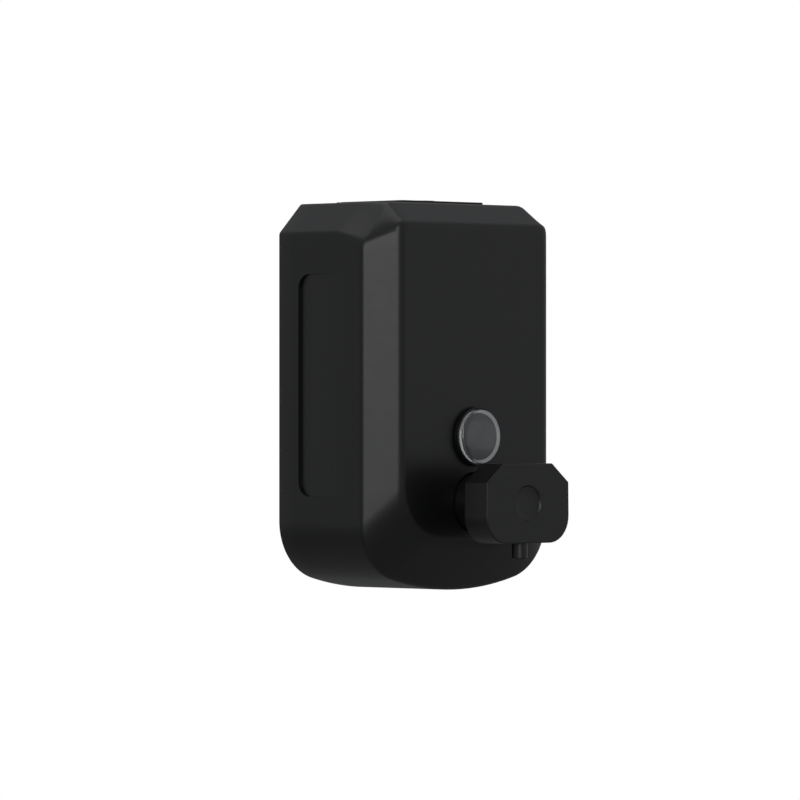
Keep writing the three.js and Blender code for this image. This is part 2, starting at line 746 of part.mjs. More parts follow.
// The button's front view: cut top corners, round bottom corners, and sides that flare a little downwards.
function buttonShape(inward) {
  const [low, high] = [PUMP_Z - BUTTON_HALF_HEIGHT + inward, PUMP_Z + BUTTON_HALF_HEIGHT - inward];
  const half = BUTTON_HALF_WIDTH - inward;
  const shoulder = half - BUTTON_FLARE;
  const radius = BUTTON_CORNER - inward;
  const shape = new THREE.Shape();
  shape.moveTo(shoulder - BUTTON_CUT_X + inward * 0.4, high);
  shape.lineTo(-shoulder + BUTTON_CUT_X - inward * 0.4, high);
  shape.lineTo(-shoulder, high - BUTTON_CUT_Z + inward * 0.4);
  shape.lineTo(-half, low + radius);
  shape.absarc(-half + radius, low + radius, radius, Math.PI, 1.5 * Math.PI);
  shape.lineTo(half - radius, low);
  shape.absarc(half - radius, low + radius, radius, -Math.PI / 2, 0);
  shape.lineTo(shoulder, high - BUTTON_CUT_Z + inward * 0.4);
  return shape;
}

// The thumb dimple: a shallow spherical bowl.
function dimple() {
  const sphere = (DIMPLE_RADIUS ** 2 + DIMPLE_DEPTH ** 2) / (2 * DIMPLE_DEPTH);
  const edge = Math.asin(DIMPLE_RADIUS / sphere);
  const profile = [[0, BUTTON_FRONT - 1], [DIMPLE_RADIUS, BUTTON_FRONT - 1]];
  for (let i = 7; i >= 0; i -= 1) {
    const a = edge * (i / 7);
    profile.push([sphere * Math.sin(a), BUTTON_FRONT + DIMPLE_DEPTH - sphere * (1 - Math.cos(a))]);
  }
  return turnedY(profile, 0, PUMP_Z, FINE);
}

// A hollow cap, open at the rear, with a boss for the plunger and one for the nozzle.
function pushButton() {
  const cap = alongY(buttonShape(0), BUTTON_FRONT, BUTTON_REAR, 8);
  const hollow = alongY(buttonShape(BUTTON_WALL), BUTTON_FRONT + BUTTON_FACE_WALL, BUTTON_REAR + 1, 6);
  const boss = discY(9, BUTTON_FRONT + 2, BUTTON_REAR, 0, PUMP_Z, 32);
  const nozzleBoss = discZ(5.8, PUMP_Z - BUTTON_HALF_HEIGHT + 1, PUMP_Z, 0, NOZZLE_Y);
  const socket = discY(6.3, BUTTON_REAR - 4.8, BUTTON_REAR + 1, 0, PUMP_Z);
  const duct = discY(DUCT_RADIUS, NOZZLE_Y, BUTTON_REAR, 0, PUMP_Z, 16);
  const nozzleHole = discZ(NOZZLE_RADIUS + 0.3, PUMP_Z - BUTTON_HALF_HEIGHT - 1, PUMP_Z + 2.5, 0, NOZZLE_Y);
  return cut(union(cut(cap, hollow), boss, nozzleBoss), dimple(), socket, duct, nozzleHole);
}

function nozzle() {
  const profile = [
    [2.4, NOZZLE_END],
    [NOZZLE_RADIUS - 0.5, NOZZLE_END],
    [NOZZLE_RADIUS, NOZZLE_END + 0.8],
    [NOZZLE_RADIUS, PUMP_Z - 4],
    [2.4, PUMP_Z - 4],
  ];
  return turnedZ(profile, 0, NOZZLE_Y);
}

// A rubber sleeve that narrows to a slit at its lower end.
function duckbill() {
  const profile = [
    [1.4, NOZZLE_END + 8],
    [0.5, NOZZLE_END + 1],
    [1.3, NOZZLE_END + 1],
    [2.2, NOZZLE_END + 5],
    [2.2, NOZZLE_END + 8],
  ];
  return turnedZ(profile, 0, NOZZLE_Y, 16);
}

// ---- Finishes and assembly ----

function finish(color, roughness, metalness) {
  return { color, roughness, metalness };
}

const BLACK_COAT = finish(0x252628, 0.5, 0);
const BLACK_PLASTIC = finish(0x1f2022, 0.45, 0);
const GREY_PLASTIC = finish(0x8b8d90, 0.5, 0);
const STEEL = finish(0xb4b6b8, 0.35, 1);
const RUBBER = finish(0x141414, 0.8, 0);
const SILICONE = finish(0xdcdedc, 0.45, 0);
const CLEAR = finish(0xdfe6e8, 0.05, 0);

const dispenser = new THREE.Group();

function add(name, piece, look) {
  const material = new THREE.MeshStandardMaterial(look);
  if (look === CLEAR) Object.assign(material, { transparent: true, opacity: 0.35 });
  const mesh = new THREE.Mesh(geometryOf(piece), material);
  mesh.name = name;
  dispenser.add(mesh);
}

add("wall_plate", wallPlate(), STEEL);
add("retaining_nut", retainingNut(), STEEL);
add("retaining_screw", retainingScrew(), STEEL);
add("hanger_bracket", hangerBracket(), STEEL);
add("back_panel", backPanel(), BLACK_COAT);
add("container_shell", containerShell(), BLACK_COAT);
add("hinge_leaf", hingeLeaf(), BLACK_COAT);
add("hinge_pin", hingePin(), STEEL);
add("filler_lid", fillerLid(), BLACK_COAT);
add("lid_gasket", lidGasket(), RUBBER);
add("lock_barrel", lockBarrel(), STEEL);
add("lock_nut", lockNut(), STEEL);
add("lock_plug", lockPlug(), STEEL);
add("lock_cam", lockCam(), STEEL);
add("cam_screw", camScrew(), STEEL);
add("sight_bezel", sightBezel(), BLACK_PLASTIC);
add("sight_gasket", sightGasket(), RUBBER);
add("lens_o_ring", lensORing(), SILICONE);
add("sight_lens", sightLens(), CLEAR);
add("sight_nut", sightNut(), BLACK_PLASTIC);
add("valve_body", valveBody(), GREY_PLASTIC);
add("valve_gasket", valveGasket(), RUBBER);
add("skirt_wiper", skirtWiper(), RUBBER);
add("valve_nut_left", valveNut(-1), STEEL);
add("valve_nut_right", valveNut(1), STEEL);
add("inlet_elbow", inletElbow(), GREY_PLASTIC);
add("inlet_seat", inletSeat(), GREY_PLASTIC);
add("inlet_ball", inletBall(), STEEL);
add("return_spring", returnSpring(), STEEL);
add("push_button", pushButton(), BLACK_PLASTIC);
add("plunger", plunger(), BLACK_PLASTIC);
add("piston", piston(), GREY_PLASTIC);
add("piston_seal", pistonSeal(), RUBBER);
add("nozzle", nozzle(), BLACK_PLASTIC);
add("duckbill", duckbill(), RUBBER);

export default dispenser;
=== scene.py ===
import json
import math

import bmesh
import bpy
import numpy as np
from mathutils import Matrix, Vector


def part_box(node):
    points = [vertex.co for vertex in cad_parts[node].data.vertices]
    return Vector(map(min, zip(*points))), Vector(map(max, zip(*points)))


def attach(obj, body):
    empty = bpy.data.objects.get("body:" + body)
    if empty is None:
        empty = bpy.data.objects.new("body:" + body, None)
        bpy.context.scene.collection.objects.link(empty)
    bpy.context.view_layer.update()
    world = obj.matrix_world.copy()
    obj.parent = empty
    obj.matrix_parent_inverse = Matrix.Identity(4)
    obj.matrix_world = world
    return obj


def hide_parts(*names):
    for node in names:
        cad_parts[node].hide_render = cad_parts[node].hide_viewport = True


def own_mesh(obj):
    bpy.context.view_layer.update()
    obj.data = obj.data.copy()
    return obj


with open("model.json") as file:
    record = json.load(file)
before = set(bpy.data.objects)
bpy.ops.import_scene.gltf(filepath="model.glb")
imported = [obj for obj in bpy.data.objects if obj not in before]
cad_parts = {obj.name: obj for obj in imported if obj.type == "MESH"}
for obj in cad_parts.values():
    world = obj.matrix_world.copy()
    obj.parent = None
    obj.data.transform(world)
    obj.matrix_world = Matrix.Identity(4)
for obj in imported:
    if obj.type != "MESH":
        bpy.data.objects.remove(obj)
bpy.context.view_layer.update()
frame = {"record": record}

# A wall-mounted push-button soap dispenser. Sizes in this script are in millimetres, and meshes are made in
# metres. The wall is the plane y = 0, the front faces -Y, and Z is up.
MM = 0.001


# ---- Sizes taken from the frame ----

def corners(node):
    """A frame node's lowest and highest corners, in millimetres."""
    low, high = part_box(node)
    return np.array(low) / MM, np.array(high) / MM


def middle(node):
    """The middle of a frame node's box, in millimetres."""
    low, high = corners(node)
    return (low + high) / 2


JOINTS = {joint["name"]: joint for joint in frame["record"]["behaviour"]["joints"]}
SHELL_LOW, SHELL_HIGH = corners("container_shell")
HALF_WIDTH = SHELL_HIGH[0]
TOP = SHELL_HIGH[2]
BOTTOM = -TOP
FRONT = SHELL_LOW[1]
WALL_GAP = -SHELL_HIGH[1]
SIGHT = middle("sight_lens")
PUMP = middle("plunger")
BUTTON_LOW, BUTTON_HIGH = corners("push_button")
NOZZLE = middle("nozzle")
NOZZLE_RADIUS = corners("nozzle")[1][0]
LOCK = middle("lock_barrel")
HINGE = np.array(JOINTS["lid_hinge"]["pos_m"]) / MM
RETAINING = middle("retaining_screw")

# ---- The container's own sizes ----

SHEET = 1.5
BEVEL = 15.2
BEVEL_START = FRONT + BEVEL
FRONT_EDGE_ROUND = 7
SIDE_EDGE_ROUND = 4
SIDES_END = -12
TOP_CUT = 16
CUT_TURN = 0.2
CUT_DROP = 3.1
GROWTH_START = 42
CORNER_RADIUS = 32
BOW_RADIUS = 180
FRONT_TOP_INSET = 11.7
FRONT_BOTTOM_INSET = 25
FRONT_CORNER_RADIUS = 30
FRONT_BOW_RADIUS = 200
MOUTH = (-25, -50, 25, -12, 6)
SIGHT_HOLE = 13
SKIRT_HOLE = 16.5
STUD_SPREAD = 24
SCREW_HEAD = 3.4
SCREW_SHANK_HOLE = 2.4
RECESS_REAR = 15.7
RECESS_FRONT = 53
RECESS_DEPTH = 1.8
RECESS_POWER = 1.7
RECESS_BOTTOM = BOTTOM + 50
RECESS_TOP = BOTTOM + 168
RECESS_CORNER = 8
SHARP_ANGLE = 32
WELD = 1e-7


# ---- Lines ----

def inset(line, inward):
    """A closed line of corners with every side moved in by a distance, for a line that goes anticlockwise."""
    line = np.asarray(line, float)
    way = np.roll(line, -1, 0) - line
    way /= np.linalg.norm(way, axis=1)[:, None]
    normal = np.stack([-way[:, 1], way[:, 0]], -1)
    before = np.roll(normal, 1, 0)
    bend = np.einsum("ij,ij->i", before, normal)
    return line + inward * (before + normal) / (1 + bend)[:, None]


def rounded(line, radii, closed=True, steps=5, guard=0.25):
    """A line of corners with an arc in place of each. Every arc touches both of its sides, and a point stands
    just past each of its ends, so that flat stretches stay flat when shaded. A radius of 0 keeps a corner."""
    line = [np.array(p, float) for p in line]
    radii = [radii] * len(line) if np.isscalar(radii) else radii
    out = []
    for i, p in enumerate(line):
        if radii[i] <= 0 or (not closed and i in (0, len(line) - 1)):
            out.append(p)
            continue
        a, b = line[i - 1] - p, line[(i + 1) % len(line)] - p
        la, lb = np.linalg.norm(a), np.linalg.norm(b)
        a, b = a / la, b / lb
        half = math.acos(np.clip(a @ b, -1, 1)) / 2
        reach = min(radii[i] / math.tan(half), 0.45 * la, 0.45 * lb)
        r = reach * math.tan(half)
        centre = p + (a + b) / np.linalg.norm(a + b) * math.hypot(r, reach)
        u, v = p + a * reach - centre, p + b * reach - centre
        turn = math.pi - 2 * half
        out.append(p + a * (reach + min(guard, 0.45 * (la / 2 - reach))))
        for t in np.linspace(0, 1, steps + 1):
            out.append(centre + (math.sin((1 - t) * turn) * u + math.sin(t * turn) * v) / math.sin(turn))
        out.append(p + b * (reach + min(guard, 0.45 * (lb / 2 - reach))))
    return np.array(out)


def polygon(line, radii=0.0, steps=5):
    """outline(e): an anticlockwise polygon moved in by e, with its corners rounded."""
    radii = [radii] * len(line) if np.isscalar(radii) else radii

    def outline(e):
        """The polygon moved in by e, each arc smaller by e."""
        return rounded(inset(line, e), [max(r - e, 0.05) if r else 0 for r in radii], True, steps)
    return outline


def rectangle(x0, y0, x1, y1, radius=0.3, steps=6):
    """outline(e): an upright rectangle moved in by e, with its corners rounded."""
    return polygon([(x0, y0), (x1, y0), (x1, y1), (x0, y1)], radius, steps)


def rim(h0, h1, soft):
    """The edge of a plate as (distance in, place along the axis), from one face round to the other."""
    inside = soft + 0.6
    return rounded([(inside, h0), (0, h0), (0, h1), (inside, h1)], [0, soft, soft, 0], False, 4)


def bar(inner, outer, h0, h1, soft):
    """A ring's section as a closed line of (radius, place along the axis), with soft corners."""
    return rounded([(inner, h0), (outer, h0), (outer, h1), (inner, h1)], soft, True, 4)


# ---- Skins ----

def volume(points, faces):
    """Six times the volume under a table of faces of equal size, below 0 when they look inwards."""
    a, b, c = points[faces[:, :1]], points[faces[:, 1:-1]], points[faces[:, 2:]]
    return float((a * np.cross(b, c)).sum())


def shade(piece):
    """Smooth shading, broken only where two faces meet at more than a set angle."""
    piece.data.shade_smooth()
    piece.data.set_sharp_from_angle(angle=math.radians(SHARP_ANGLE))
    return piece


def skin(name, rings, ends="loop", poles=None):
    """A closed skin through rings of points in millimetres (ring, place on the ring, xyz). Each ring is
    joined to the next all the way round. The ends are flat lids, or points ("poles"), or the last ring joins
    the first ("loop")."""
    rings = np.asarray(rings, float)
    rows, count = rings.shape[:2]
    points = rings.reshape(-1, 3)
    ring = np.arange(rows if ends == "loop" else rows - 1)[:, None]
    place = np.arange(count)[None, :]
    after, above = (place + 1) % count, (ring + 1) % rows
    low, high = ring * count, above * count
    quads = np.stack([low + place, low + after, high + after, high + place])
    tables = [quads.reshape(4, -1).T]
    last = (rows - 1) * count
    if ends == "lids":
        tables.append(np.stack([place[0][::-1], last + place[0]]))
    if ends == "poles":
        first = np.full(count, len(points))
        points = np.vstack([points, poles])
        tables.append(np.stack([first, after[0], place[0]], 1))
        tables.append(np.stack([first + 1, last + place[0], last + after[0]], 1))
    if sum(volume(points, table) for table in tables) < 0:
        tables = [table[:, ::-1] for table in tables]
    faces = [face for table in tables for face in table.tolist()]
    mesh = bpy.data.meshes.new(name)
    mesh.from_pydata((points * MM).tolist(), [], faces)
    mesh.validate()
    piece = bpy.data.objects.new(name, mesh)
    bpy.context.scene.collection.objects.link(piece)
    return shade(piece)


ORDER = {"x": (2, 0, 1), "y": (0, 2, 1), "z": (0, 1, 2)}


def turned(name, profile, centre, axis="y", sides=96, start=0.0):
    """A profile of (radius, place along the axis) turned about a line along an axis through the centre. A
    profile that starts and ends at radius 0 closes there, and any other is a closed loop."""
    profile = np.asarray(profile, float)
    angle = start + np.linspace(0, 2 * math.pi, sides, endpoint=False)
    pointed = profile[0, 0] < 1e-6 and profile[-1, 0] < 1e-6
    body = profile[1:-1] if pointed else profile
    r, h = body[:, :1], body[:, 1:]
    flat = np.stack([r * np.cos(angle), r * np.sin(angle), h * np.ones_like(angle)], -1)
    shift = np.array(centre, float)
    shift["xyz".index(axis)] = 0
    rings = flat[..., ORDER[axis]] + shift
    if not pointed:
        return skin(name, rings)
    tips = np.array([[0, 0, profile[0, 1]], [0, 0, profile[-1, 1]]])
    return skin(name, rings, "poles", tips[:, ORDER[axis]] + shift)


def slab(name, outline, edge, axis="z"):
    """A plate: outline(e) is its edge line moved in by e, drawn in the two other axes in their order, and
    edge is a line of (e, place along the axis) from one face round the rim to the other."""
    rings = []
    for inward, h in edge:
        flat = outline(inward)
        rings.append(np.stack([flat[:, 0], flat[:, 1], np.full(len(flat), h)], -1))
    return skin(name, np.array(rings)[..., ORDER[axis]], "lids")


def frame_of(name, outline, section, axis="z"):
    """A closed band: a section of (distance in, place along the axis), as a closed line, carried all the way
    round outline(e)."""
    rings = []
    for inward, h in section:
        flat = outline(inward)
        rings.append(np.stack([flat[:, 0], flat[:, 1], np.full(len(flat), h)], -1))
    return skin(name, np.array(rings)[..., ORDER[axis]])


def combine(piece, tools, how):
    """Cuts tools out of a piece, joins them to it or keeps what they share, and clears the tools away.
    Points that fall together are made one, and slits a few edges long are closed."""
    for tool in tools:
        change = piece.modifiers.new(how.lower(), "BOOLEAN")
        change.operation = how
        change.solver = "MANIFOLD"
        change.object = tool
    bpy.context.view_layer.update()
    made = bpy.data.meshes.new_from_object(piece.evaluated_get(bpy.context.evaluated_depsgraph_get()))
    piece.modifiers.clear()
    work = bmesh.new()
    work.from_mesh(made)
    bmesh.ops.remove_doubles(work, verts=work.verts, dist=WELD)
    bmesh.ops.dissolve_degenerate(work, edges=work.edges, dist=WELD)
    bmesh.ops.holes_fill(work, edges=[edge for edge in work.edges if len(edge.link_faces) == 1], sides=6)
    work.to_mesh(made)
    work.free()
    piece.data = made
    for tool in tools:
        bpy.data.objects.remove(tool)
    return shade(piece)


def cut_out(piece, *tools):
    """The piece less the tools."""
    return combine(piece, tools, "DIFFERENCE")


def join_on(piece, *tools):
    """The piece and the tools as one solid."""
    return combine(piece, tools, "UNION")


def shared(piece, *tools):
    """Only what the piece and the tools share."""
    return combine(piece, tools, "INTERSECT")


def drill(radius, h0, h1, centre, axis="y", sides=64):
    """A tool for a round hole: a rectangle turned about the hole's axis."""
    return turned("drill", [(0, h0), (radius, h0), (radius, h1), (0, h1)], centre, axis, sides)


def block(x0, y0, z0, x1, y1, z1):
    """A tool for a square-cornered notch: a rectangle carried up Z."""
    return slab("block", polygon([(x0, y0), (x1, y0), (x1, y1), (x0, y1)]), [(0, z0), (0, z1)])


# ---- Container ----

SIDE_SHARES = np.linspace(0, 1, 16, endpoint=False)
CREASE_MARKS = 9
CORNER_MARKS = 3 * CREASE_MARKS - 2
FINE_STEP = 0.1
LEAD_STEPS = 120
LEAD = 12


def averaged(line, sigma):
    """A line softened along its own length by a bell shaped average: the places along the line that the
    average reaches, and the softened points there. Also the line's length up to each of its points."""
    length = np.concatenate([[0], np.cumsum(np.linalg.norm(np.diff(line, axis=0), axis=1))])
    even = np.arange(0, length[-1], FINE_STEP)
    reach = 2.7 * sigma
    bell = np.exp(-0.5 * (np.arange(-reach, reach + FINE_STEP / 2, FINE_STEP) / sigma) ** 2)
    smooth = [np.convolve(np.interp(even, length, part), bell / bell.sum(), "valid") for part in line.T]
    return even[(len(bell) - 1) // 2:][:len(smooth[0])], smooth, length


def crease_marks(first, second, reach):
    """Places along a line: close together about its two creases, and a few between them."""
    if second - first <= 2.2 * reach:
        return np.linspace(first - reach, second + reach, CORNER_MARKS)
    about = np.linspace(-reach, reach, CREASE_MARKS)
    between = np.linspace(first + reach, second - reach, CREASE_MARKS)[1:-1]
    return np.concatenate([first + about, between, second + about])


def top_corner(half, share, y, inward):
    """A top corner's points as (distance in from the side, distance down from the top), going up. Both the
    cut at the side and the slope above the front bevel are depths below the top, and the surface lies at a
    power mean of the two. Towards the front the cut is set lower and grows steeper. Its two creases are
    softened by a bell shaped average along the line, which widens towards the front face."""
    t = max((-y - GROWTH_START) / (-BEVEL_START - GROWTH_START), 0)
    growth = t ** 1.5 if t < 1 else 1.5 * t - 0.5
    steep, lower = 1 + CUT_TURN * growth, CUT_DROP * growth
    front_drop = FRONT_TOP_INSET * share
    crease = HALF_WIDTH - TOP_CUT - (math.sqrt(2) - 1) * inward
    power = 2.5 + 2 * share
    sigma = 0.8 + 1.2 * min(t, 1) ** 2 + 0.9 * share
    across = np.concatenate([np.zeros(LEAD_STEPS), np.arange(0, 40, FINE_STEP)])
    side_drop = np.maximum(steep * (half - across - crease) + lower, 0)
    down = (side_drop ** power + front_drop ** power) ** (1 / power) - front_drop
    down[:LEAD_STEPS] += np.linspace(LEAD, 0, LEAD_STEPS, endpoint=False)
    place, smooth, length = averaged(np.stack([across, down], -1), sigma)
    ridge = max(half - crease - (front_drop - lower) / steep, 0)
    second = np.interp(ridge, across[LEAD_STEPS:], length[LEAD_STEPS:])
    marks = crease_marks(LEAD, second, 2.7 * sigma)
    return np.stack([np.interp(marks, place, part) for part in smooth], -1)


def front_view(half, top, bottom, corner, bow, cut):
    """An outline of the container, anticlockwise from the middle of its bottom: half the bow, the bottom
    corner's arc, the side, the top corner's cut and half the top. The left half is the right one mirrored."""
    corner_x = half - corner
    bow_z = bottom + bow
    tilt = math.asin(corner_x / (bow - corner))
    corner_z = bow_z - (bow - corner) * math.cos(tilt)
    a = np.linspace(0, tilt, 14, endpoint=False)
    bottom_arc = np.stack([bow * np.sin(a), bow_z - bow * np.cos(a)], -1)
    a = np.linspace(tilt, math.pi / 2, 20, endpoint=False)
    corner_arc = np.stack([corner_x + corner * np.sin(a), corner_z - corner * np.cos(a)], -1)
    turn = np.stack([half - cut[:, 0], top - cut[:, 1]], -1)
    side = np.stack([np.full(16, half), corner_z + (turn[0, 1] - corner_z) * SIDE_SHARES], -1)
    x = np.linspace(turn[-1, 0], 0, 14)[1:]
    flat = np.stack([x, np.full(len(x), top)], -1)
    right = np.concatenate([bottom_arc, corner_arc, side, turn, flat])
    return np.concatenate([right, right[1:-1][::-1] * (-1, 1)])


def section(share, y, inward):
    """The container's outline at a share of the way up its bevel, 0 at the sides and 1 at the front face."""
    half = HALF_WIDTH - BEVEL * share - inward
    return front_view(half, TOP - FRONT_TOP_INSET * share - inward,
                      BOTTOM + FRONT_BOTTOM_INSET * share + inward,
                      CORNER_RADIUS + (FRONT_CORNER_RADIUS - CORNER_RADIUS) * share - inward,
                      BOW_RADIUS + (FRONT_BOW_RADIUS - BOW_RADIUS) * share - inward,
                      top_corner(half, share, y, inward))


def ring_at(w, y, inward, front_inward):
    """One ring of the container's skin at a depth y, where w is how far out it lies from the front face's
    edge: below 0 on the face itself, and the bevel's width on the sides."""
    if w <= 0:
        half = HALF_WIDTH - BEVEL - front_inward
        flat = front_view(half + w, TOP - FRONT_TOP_INSET - front_inward + w,
                          BOTTOM + FRONT_BOTTOM_INSET + front_inward - w, FRONT_CORNER_RADIUS + w * 0.9,
                          FRONT_BOW_RADIUS + w, top_corner(half, 1, FRONT, front_inward))
    else:
        f = max(1 - w / BEVEL, 0)
        flat = section(f, y, inward * (1 - f) + front_inward * f)
    return np.stack([flat[:, 0], np.full(len(flat), y), flat[:, 1]], -1)


def body(name, inward, rear):
    """The container's outside, or with a distance inwards its inside, as one solid: from the middle of the
    front face over its soft edge, down the bevel and along the sides to a flat rear."""
    turn = inward * (math.sqrt(2) - 1)
    front = FRONT + inward
    line = [(-12, front), (0, front), (BEVEL, front + BEVEL - inward + turn), (BEVEL, BEVEL_START + 20)]
    w, y = rounded(line, [0, FRONT_EDGE_ROUND, SIDE_EDGE_ROUND, 0], False, 9, 0.4)[:-1].T
    along = np.linspace(y[-1] + 2, SIDES_END, 16)
    rings = [ring_at(a, front, inward, turn) for a in (-28, -20)]
    rings += [ring_at(a, b, inward, turn) for a, b in zip(w, y)]
    rings += [ring_at(BEVEL, b, inward, turn) for b in along]
    if inward:
        rings += [ring_at(BEVEL, rear, inward, turn)]
    else:
        soft_edge = ((0, 0.7), (0.1, 0.3), (0.4, 0.1), (0.75, 0))
        rings += [ring_at(BEVEL, rear - b, e, 0) for e, b in soft_edge]
    middles = np.array([[0, front, -10.0], [0, rings[-1][0][1], -10.0]])
    return skin(name, rings, "poles", middles)


def recess(side, grow):
    """The tool for a side's recess: slices from front to rear, each as tall as an upright rounded rectangle
    is there. The floor's depth is a power of the way back, so it starts gently and ends in a step."""
    corner, front, rear = RECESS_CORNER + grow, -RECESS_FRONT - grow, -RECESS_REAR + grow
    turn = corner * (1 - np.cos(np.linspace(0, math.pi / 2, 12)))
    between = np.linspace(front + corner, rear - corner, 16)[1:-1]
    y = np.concatenate([front + turn, between, (rear - turn)[::-1]])
    end = np.maximum(corner - np.minimum(y - front, rear - y), 0)
    short = corner - np.sqrt(corner ** 2 - end ** 2)
    ramp = np.clip((y + RECESS_FRONT) / (RECESS_FRONT - RECESS_REAR), 0, 1)
    floor_x = side * (HALF_WIDTH - RECESS_DEPTH * ramp ** RECESS_POWER - grow)
    out_x = np.full(len(y), side * (HALF_WIDTH + 3))
    low, high = RECESS_BOTTOM - grow + short, RECESS_TOP + grow - short
    edges = [(floor_x, y, low), (out_x, y, low), (out_x, y, high), (floor_x, y, high)]
    return skin("recess", np.stack([np.stack(edge, -1) for edge in edges], 1), "lids")


def container_shell():
    """The outside less the inside, with the two recesses, the mouth, the notch for the hinge and the holes
    cut out, and two studs joined on behind the front face."""
    shell = body("container", 0, -WALL_GAP)
    inside = cut_out(body("inside", SHEET, 3), recess(-1, SHEET), recess(1, SHEET))
    mouth = slab("mouth", rectangle(*MOUTH), [(0, TOP - 5), (0, TOP + 5)])
    hinge_notch = block(-31.5, -7.7, TOP - 5, 31.5, 6, TOP + 5)
    sink = corners("retaining_screw")[0][2] + SCREW_HEAD + 0.42 - SCREW_SHANK_HOLE
    cone = [(0, sink - 8), (SCREW_SHANK_HOLE + 8, sink - 8), (SCREW_SHANK_HOLE, sink),
            (SCREW_SHANK_HOLE, sink + 8), (0, sink + 8)]
    sight_hole = drill(SIGHT_HOLE, FRONT - 4, FRONT + 4, SIGHT, sides=128)
    skirt_hole = drill(SKIRT_HOLE, FRONT - 4, FRONT + 4, PUMP, sides=128)
    cut_out(shell, recess(-1, 0), recess(1, 0), inside, mouth, hinge_notch,
            turned("sink", cone, RETAINING, "z", 64), sight_hole, skirt_hole)
    ends = (FRONT + SHEET / 2, FRONT + 10)
    studs = [drill(2, *ends, PUMP + (side * STUD_SPREAD, 0, 0), sides=40) for side in (-1, 1)]
    return join_on(shell, *studs)


# ---- Wall side ----

def back_panel():
    """The container's rear outline, moved in, as a sheet."""
    return slab("panel", lambda e: section(0, 0, SHEET + 0.3 + e), rim(-9.3, -7.8, 0.3), "y")


def hook(x):
    """A short shelf out of the plate and a leg that stands up from its end."""
    line = [(-1.6, 60), (-1.6, 62), (-5.1, 62), (-5.1, 70), (-6.6, 70), (-6.6, 60)]
    return slab("hook", polygon(line, [0.3, 0.3, 0.4, 0.5, 0.5, 1.5], 4), rim(x - 9, x + 9, 0.25), "x")


def wall_plate():
    """A pressed plate with two upturned hooks, a tongue with a tab at its foot, and four screw holes."""
    low = corners("wall_plate")[0]
    plate = slab("plate", rectangle(-50, -75, 50, 75, 6), rim(-2, 0, 0.35), "y")
    tongue = slab("tongue", rectangle(-12, low[2] + 0.1, 12, -70, 1), rim(-1.95, -0.05, 0.35), "y")
    tab = slab("tab", rectangle(-12, low[1], 12, -0.6, 0.8), rim(low[2], low[2] + 2, 0.3))
    holes = [drill(2.75, -5, 5, (x, 0, z), sides=48) for x in (-34, 34) for z in (-55, 55)]
    join_on(plate, tongue, tab, hook(-26), hook(26))
    return cut_out(plate, *holes, drill(2.3, low[2] - 3, low[2] + 4, RETAINING, "z"))


def hanger_bracket():
    """A strip folded twice, carried across: a flange, a web and a lip that drops behind the hooks."""
    line = [(-7.5, 71), (-4.1, 71), (-4.1, 62.3), (-2.9, 62.3),
            (-2.9, 72.2), (-6.3, 72.2), (-6.3, 86), (-7.5, 86)]
    radii = [1.4, 0.3, 0.4, 0.4, 1.4, 0.3, 0.4, 0.4]
    return slab("hanger", polygon(line, radii, 4), rim(-41, 41, 0.25), "x")


def retaining_screw():
    """A countersunk screw with a six-sided socket."""
    low, high = corners("retaining_screw")
    z0, z1 = low[2], high[2]
    line = [(0, z0), (SCREW_HEAD, z0), (2, z0 + 1.4), (2, z1), (0, z1)]
    screw = turned("screw", rounded(line, [0, 0.2, 0.3, 0.3, 0], False, 3), RETAINING, "z", 64)
    return cut_out(screw, drill(1.2, z0 - 1, z0 + 1.6, RETAINING, "z", 6))


def retaining_nut():
    """A square nut: a rounded square carried up Z with soft edges, and its bore."""
    low, high = corners("retaining_nut")
    nut = slab("nut", rectangle(low[0], low[1], high[0], high[1], 0.5), rim(low[2], high[2], 0.3))
    return cut_out(nut, drill(2.2, low[2] - 1, high[2] + 1, RETAINING, "z"))


# ---- Lid ----

KNUCKLE = 2.1
PIN_BORE = 1.15
KNUCKLE_SPLIT = 14.6


def knuckle(x0, x1):
    """One rolled knuckle of the hinge, with soft ends."""
    profile = rounded([(0, x0), (KNUCKLE, x0), (KNUCKLE, x1), (0, x1)], [0, 0.3, 0.3, 0], False, 3)
    return turned("knuckle", profile, HINGE, "x", 48)


def hinge_leaf():
    """A strip behind the back panel with a knuckle at each end of its top edge."""
    front = corners("hinge_leaf")[0][1]
    leaf = slab("leaf", rectangle(-30, 86, 30, HINGE[2] - 0.2, 0.8), rim(front, front + 1.2, 0.25), "y")
    cut_out(leaf, block(-KNUCKLE_SPLIT, -9, HINGE[2] - KNUCKLE - 0.4, KNUCKLE_SPLIT, 0, TOP + 5))
    join_on(leaf, knuckle(-30, -KNUCKLE_SPLIT), knuckle(KNUCKLE_SPLIT, 30))
    return cut_out(leaf, drill(PIN_BORE, -35, 35, HINGE, "x", 32))


def hinge_pin():
    """A pin with rounded ends."""
    profile = rounded([(0, -30.4), (1, -30.4), (1, 30.4), (0, 30.4)], [0, 0.35, 0.35, 0], False, 4)
    return turned("pin", profile, HINGE, "x", 40)


def filler_lid():
    """A flat sheet with soft edges, a strap and a knuckle at its rear, and a hole for the lock."""
    low, high = corners("filler_lid")
    top = high[2]
    lid = slab("lid", rectangle(low[0], low[1], high[0], -7.3, 1.5), rim(top - 1.1, top, 0.3))
    strap = slab("strap", rectangle(-14.3, -8.3, 14.3, HINGE[1], 0.2), rim(top - 1.06, top - 0.04, 0.15))
    join_on(lid, strap, knuckle(-14.3, 14.3))
    return cut_out(lid, drill(PIN_BORE, -35, 35, HINGE, "x", 32), drill(6.3, TOP - 4, TOP + 6, LOCK, "z"))


